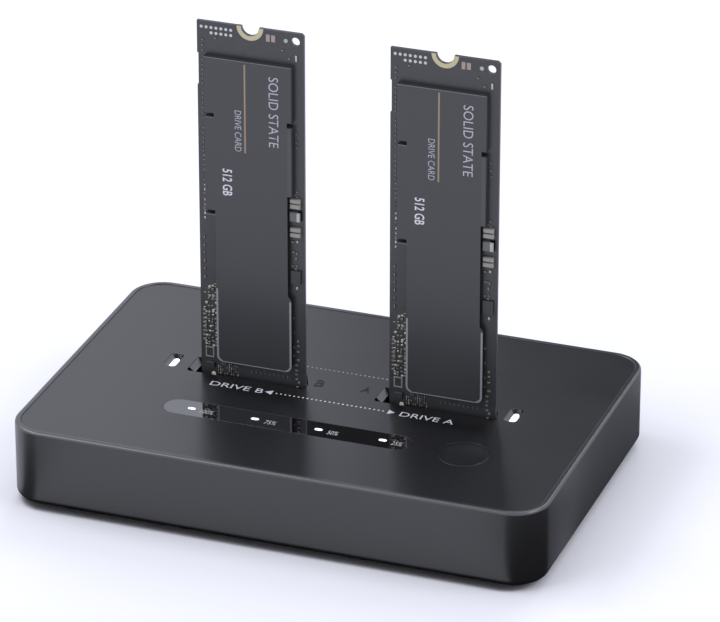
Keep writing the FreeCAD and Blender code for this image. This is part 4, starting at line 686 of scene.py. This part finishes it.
film_high, ink_thick, ink_taper = 1.3 * mm, 0.02 * mm, 0.01 * mm
film_grey = moulded("film_grey", (0.032, 0.033, 0.035), 0.33, 5000, 0.03, 0.03)
# A lighter strip along the film's right edge is a painted highlight of its lit edge.
film_facet = moulded("film_facet", (0.047, 0.048, 0.05), 0.33, 5000, 0.03, 0.03)
silver_edge = moulded("silver_edge", (0.27, 0.272, 0.28), 0.4, 4000, 0.05, 0.05)
edge_highlight_grey = moulded("edge_highlight_grey", (0.16, 0.163, 0.17), 0.5, 4000, 0.1)
amber = moulded("amber_ink", (0.31, 0.225, 0.14), 0.5, 4000, 0.05)
ink_grey = moulded("ink_grey", (0.45, 0.46, 0.5), 0.5, 4000, 0.1)
ink_pale = moulded("ink_pale", (0.68, 0.69, 0.73), 0.5, 4000, 0.1)
# The grey lines along the film's top edge and below the gaps between packages are painted highlights of
# lit edges; the amber line is print.
lines = [(1.8, 6.8, 18.0, 0.13), (2.0, 19.35, 1.8, 0.11), (2.0, 40.1, 2.1, 0.11)]
raised = (("film_facet_", film_facet, [(18.98, 19.6, 0.8, 14.2)]),
          ("edge_highlight_lines_", edge_highlight_grey, lines),
          ("amber_line_", amber, [(10.1, 7.4, 0.34, 18.6)]))
writing = (("long_word_", "SOLID STATE", 15.2, 17.2, 9.2, 23.9, ink_grey, 0.004),
           ("thin_word_", "DRIVE CARD", 8.15, 9.5, 17.2, 25.8, ink_grey, 0.006),
           ("bold_word_", "512 GB", 5.5, 7.5, 29.9, 35.6, ink_pale, -0.015))
for side in ("a", "b"):
    body = "card_" + side
    film = card_sheet("film_label_" + side, side, [sheet_loop], package_high, film_high, 0.04 * mm)
    fitted(film, film_grey, body, "card_label_film", "card_%s_label" % side)
    edge_line = card_sheet("silver_line_" + side, side, [line_loop], 1.26 * mm, 1.34 * mm, 0.02 * mm)
    fitted(edge_line, silver_edge, body, "card_label_film")
    for name, ink, parts in raised:
        line = lumps(name + side, side, parts, ink_thick, ink_taper, film_high)
        fitted(line, ink, body, "card_label_film")
    for name, text, u0, u1, v0, v1, ink, thin in writing:
        word = card_words(name + side, side, text, u0, u1, v0, v1, film_high + ink_thick, thin)
        fitted(word, ink, body, "card_label_film")


# ---- small parts on the cards -------------------------------------------------------------
# Tinned solder ends of resistors and capacitors run in a sparse column down the left edge, in a
# cluster beside the controller, and by the right edge and the foot. Four chokes, a square coil
# and three small chips sit between them, and plain pads lie round the half hole.

def dots(name, side, spots, radius, height):
    """Round pads on the card's front, given as (across, down)."""
    outlines = [disc(card_left[side] + u * mm, card_top - v * mm, radius, 16) for u, v in spots]
    return stood(printed(name, outlines, front + height, height))


def scatter(number):
    """An even spread of values from 0 to 1, the same on every run."""
    return math.sin(number) * 43758.5453 % 1


dim, bright = [], []
step, sparse = 1.02, 24
for n in range(46):
    jog = 0.5 + 0.5 * math.sin(n * 12.9898)
    down = 3.6 + step * n
    if n < sparse and n % 7 != 3:
        dim.append((1.05, down + 0.3 * jog, 0.26, 0.3))
    elif n >= sparse and n % 9 != 5:
        ends = bright if jog > 0.4 else dim
        ends.append((1.05 + 0.15 * jog, down - 10 * step * (n > 37), 0.36, 0.5 * jog + 0.2))
dim += [(0.95, 45.6 + 1.7 * n, 0.3, 0.4 + 0.2 * (n % 2)) for n in range(6)]
for row in range(20):
    for column in range(4):
        pick = scatter(row * 78.233 + column * 37.719)
        if pick < 0.22:
            continue
        u = 0.75 + 0.72 * column + 0.3 * pick
        v = 55.2 + 0.72 * row + 0.35 * (pick * 7 % 1)
        size_u, size_v = 0.3 + 0.28 * (pick * 3 % 1), 0.24 + 0.22 * (pick * 5 % 1)
        (bright if pick > 0.72 else dim).append((u, v, size_u, size_v))
dim += [(0.55, 61.5 + 0.92 * n, 0.75, 0.42) for n in range(8)]
bright += [(1.75, 58.2, 0.5, 0.5), (2.5, 58.2, 0.5, 0.5), (0.75, 61.0, 0.4, 0.45), (1.9, 65.0, 0.5, 0.35)]
dim += [(20.35, 65.2, 0.5, 0.5), (20.4, 66.3, 0.5, 0.35), (20.3, 67.6, 0.6, 0.35),
        (20.3, 69.4, 0.7, 0.4), (19.9, 70.6, 0.7, 0.4), (19.9, 71.7, 0.7, 0.42),
        (19.9, 72.6, 0.6, 0.36), (20.0, 73.7, 0.6, 0.3), (20.5, 74.3, 0.5, 0.5),
        (20.2, 75.4, 0.5, 0.3), (19.6, 60.3, 0.25, 0.4), (19.65, 63.4, 0.2, 0.5),
        (19.6, 66.6, 0.2, 0.5), (19.6, 68.6, 0.2, 0.4)]
dim += [(19.3, 43.8, 0.5, 0.4), (19.4, 46.0, 0.7, 0.3), (20.3, 46.1, 0.35, 0.6),
        (20.1, 47.2, 0.35, 0.7), (19.4, 48.9, 0.3, 0.5), (20.3, 48.9, 0.3, 0.5),
        (20.0, 49.6, 0.5, 0.3), (20.3, 20.8, 0.3, 0.3), (20.3, 22.4, 0.3, 0.4),
        (20.4, 23.6, 0.3, 0.3), (20.3, 33.0, 0.4, 0.3), (20.4, 34.1, 0.4, 0.3),
        (17.5, 3.7, 0.4, 0.25), (18.8, 5.2, 0.4, 0.3), (3.6, 3.1, 0.5, 0.2)]
bright += [(20.35, 43.6, 0.42, 0.5), (20.25, 53.6, 0.4, 0.6), (20.3, 4.5, 0.4, 1.2)]
dim += [(18.7 + 0.5 * n, 76.6 + 0.08 * n, 0.3, 0.2) for n in range(4)]
for row in range(4):
    for column in range(10):
        pick = scatter(row * 91.7 + column * 17.3)
        if pick > 0.35:
            (bright if pick > 0.8 else dim).append(
                (3.6 + 0.46 * column, 72.9 + 0.7 * row, 0.2, 0.3 + 0.25 * pick))
chokes = [(19.2, 34.6, 2.1, 0.9), (19.2, 35.7, 2.1, 0.95), (19.2, 40.75, 2.1, 0.85),
          (19.2, 41.85, 2.1, 0.9)]
chips = [(19.2, 50.0, 2.1, 2.9), (1.2, 72.9, 1.7, 1.3), (2.1, 35.6, 1.8, 2.9)]
jumpers = [(14.3, 0.95, 0.75, 1.5), (15.35, 1.0, 0.8, 1.4)]
foot_pads = [(10.6 + 0.95 * n, 73.6, 0.14, 0.5) for n in range(9)]
tinned = metal("tinned", (0.48, 0.46, 0.41), 0.45)
dull_tin = metal("dull_tin", (0.24, 0.23, 0.2), 0.5)
copper_pink = metal("bare_copper", (0.37, 0.3, 0.265), 0.45)
ferrite = moulded("ferrite_grey", (0.29, 0.285, 0.245), 0.4, 6000, 0.1)
coil_grey = moulded("coil_grey", (0.11, 0.11, 0.112), 0.35, 6000, 0.1)
soldered = (("jumper_pads_", copper_pink, jumpers, 0.05, 0.06),
            ("part_ends_", tinned, bright, 0.3, 0.06),
            ("dull_parts_", dull_tin, dim, 0.3, 0.06),
            ("chokes_", ferrite, chokes, 0.8, 0.1),
            ("square_coil_", coil_grey, [(19.2, 37.3, 2.2, 2.0)], 0.95, 0.1),
            ("coil_end_", tinned, [(20.6, 37.3, 0.8, 2.0)], 0.97, 0.12),
            ("foot_pads_", dull_tin, foot_pads, 0.05, 0.02),
            ("small_chips_", package_black, chips, 0.6, 0.08))
frame_loops = [[(0.95, 69.7), (2.75, 69.7), (2.75, 72.0), (0.95, 72.0)],
               [(1.2, 69.95), (2.5, 69.95), (2.5, 71.75), (1.2, 71.75)]]
pads = [(0.96 + 1.015 * n, 1.15) for n in range(7)] + [(2.99 + 1.015 * n, 2.25) for n in range(5)]
pad_tin = metal("pad_tin", (0.54, 0.54, 0.53), 0.4)
cream = moulded("cream_mask", (0.88, 0.87, 0.78), 0.5, 6000, 0.05)
sage = moulded("sage_mask", (0.4, 0.43, 0.36), 0.5, 6000, 0.05)
round_pads = (("test_pads_", pad_tin, pads, 0.31, 0.05),
              ("lower_dot_", cream, [(2.6, 75.6)], 0.46, 0.08),
              ("upper_dot_", sage, [(18.35, 1.75)], 0.42, 0.08))
for side in ("a", "b"):
    body = "card_" + side
    for name, finish, parts, height, taper in soldered:
        part = lumps(name + side, side, parts, height * mm, taper * mm)
        fitted(part, finish, body, "card_ceramic")
    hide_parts("card_%s_small_parts" % side)
    border = card_sheet("chip_border_" + side, side, frame_loops, 0, 0.1 * mm, 0.01 * mm)
    fitted(border, tinned, body, "card_ceramic")
    for name, finish, spots, radius, height in round_pads:
        pad = dots(name + side, side, spots, radius * mm, height * mm)
        fitted(pad, finish, body, "card_ceramic")


# ---- stage, lamps and camera ----------------------------------------------------------------
# A plain white table under soft, slightly cool light from the sky and four wide lamps. Dark felt
# that only reflections see stands behind and lies round the case, as a studio sets it to keep
# black plastic black, and one sheet under the case deepens the shadow at its foot.

ground = bpy.data.meshes.new("table")
half = 30.0
ground.from_pydata([(-half, -half, 0), (half, -half, 0), (half, half, 0), (-half, half, 0)], [],
                   [(0, 1, 2, 3)])
table = bpy.data.objects.new("table", ground)
bpy.context.scene.collection.objects.link(table)
white = bpy.data.materials.new("table_white")
white.use_nodes = True
nodes, links = white.node_tree.nodes, white.node_tree.links
nodes.remove(nodes["Principled BSDF"])
matt = nodes.new("ShaderNodeBsdfDiffuse")
matt.inputs["Color"].default_value = (0.985, 0.99, 1.0, 1)
links.new(matt.outputs[0], nodes["Material Output"].inputs["Surface"])
ground.materials.append(white)


def felt(name, corners, grey):
    """A sheet of felt that only reflections see."""
    mesh = bpy.data.meshes.new(name)
    mesh.from_pydata(corners, [], [tuple(range(len(corners)))])
    sheet = bpy.data.objects.new(name, mesh)
    bpy.context.scene.collection.objects.link(sheet)
    material = bpy.data.materials.new(name)
    material.use_nodes = True
    shader = material.node_tree.nodes["Principled BSDF"]
    shader.inputs["Base Color"].default_value = (grey, grey, grey * 1.05, 1)
    shader.inputs["Roughness"].default_value = 1
    mesh.materials.append(material)
    sheet.visible_camera = False
    sheet.visible_diffuse = False
    sheet.visible_shadow = False
    return sheet


dark = 0.02
behind = 0.9
for name, x0, x1, z0, z1 in (("dark_card", -0.3, 0.08, 0.1, 1.0), ("dark_slip", -0.345, -0.3, 0.46, 0.58)):
    felt(name, [(x0, behind, z0), (x1, behind, z0), (x1, behind, z1), (x0, behind, z1)], dark)
table_felts = (
    ("corner_felt", dark, ((50.5, -36.2), (38.5, -74), (60, -90), (110, -70), (120, -10), (68.3, 8.4),
                           (54.7, -29.2))),
    ("near_side_felt", 0.5, ((54.7, -29.2), (68.3, 8.4), (130, 60), (120, 90), (80, 58), (54.7, -13))),
    ("far_side_felt", 0.22, ((54.7, -13), (80, 58), (120, 90), (110, 150), (90, 140), (54.7, 45))),
    ("left_felt", 0.1, ((-50, -36.2), (-66, -74), (-80, -65), (-84, -45), (-54, -33))))
for name, grey, spots in table_felts:
    felt(name, [(x * mm, y * mm, 0.2 * mm) for x, y in spots], grey)
reach = 2.5 * mm
spots = rounded(case_low.x - reach, case_high.x + reach, case_low.y - reach, case_high.y + reach,
                corner + reach, 6)
felt("under_felt", [(x, y, 0.1 * mm) for x, y in spots], dark)
inset = 1.3 * mm
spots = rounded(case_low.x, case_high.x - inset, case_low.y, case_high.y - inset, corner, 6)
foot_shade = felt("foot_shade", [(x, y, 1.0 * mm) for x, y in spots], dark)
foot_shade.visible_glossy = False
foot_shade.visible_diffuse = True
foot_shade.visible_shadow = True

world = bpy.data.worlds.new("studio")
bpy.context.scene.world = world
world.use_nodes = True
nodes, links = world.node_tree.nodes, world.node_tree.links
sky = nodes["Background"]
ray = nodes.new("ShaderNodeLightPath")
soft = nodes.new("ShaderNodeMix")
soft.data_type = "RGBA"
soft.inputs["A"].default_value = (0.57, 0.575, 0.64, 1)
soft.inputs["B"].default_value = (0.93, 0.96, 1.08, 1)
links.new(ray.outputs["Is Glossy Ray"], soft.inputs["Factor"])
clear = nodes.new("ShaderNodeMath")
clear.operation = "MAXIMUM"
links.new(ray.outputs["Is Camera Ray"], clear.inputs[0])
links.new(ray.outputs["Is Transmission Ray"], clear.inputs[1])
pure = nodes.new("ShaderNodeMix")
pure.data_type = "RGBA"
pure.inputs["B"].default_value = (1, 1, 1, 1)
links.new(clear.outputs[0], pure.inputs["Factor"])
links.new(soft.outputs["Result"], pure.inputs["A"])
links.new(pure.outputs["Result"], sky.inputs["Color"])


def lamp(name, place, power):
    """A wide lamp that looks at the middle of the table."""
    light = bpy.data.lights.new(name, "AREA")
    light.size = 0.7
    light.energy = power
    light.color = (0.98, 1.0, 1.13)
    thing = bpy.data.objects.new(name, light)
    bpy.context.scene.collection.objects.link(thing)
    thing.location = place
    thing.rotation_euler = (-Vector(place)).to_track_quat("-Z", "Y").to_euler()


lamp("lamp_left", (-1, 0, 1), 3.6)
lamp("lamp_front_left", (-0.75, -0.75, 1), 4.4)
lamp("lamp_back", (0, 1, 1), 3.9)
lamp("lamp_right", (1, 0, 1), 3.8)

lens = bpy.data.cameras.new("camera")
lens.sensor_width = 36
lens.lens = 243.63
lens.clip_start = 0.01
lens.clip_end = 100
camera = bpy.data.objects.new("camera", lens)
bpy.context.scene.collection.objects.link(camera)
camera.location = (0.296516, -0.805609, 0.451354)
yaw, pitch, roll = -0.3461, 0.4516, 0.0007
aim = Vector((math.sin(yaw) * math.cos(pitch), math.cos(yaw) * math.cos(pitch), -math.sin(pitch)))
tilt = Matrix.Rotation(roll, 4, "Z").to_quaternion()
camera.rotation_euler = (aim.to_track_quat("-Z", "Y") @ tilt).to_euler()
bpy.context.scene.camera = camera
bpy.context.scene.view_settings.view_transform = "Standard"
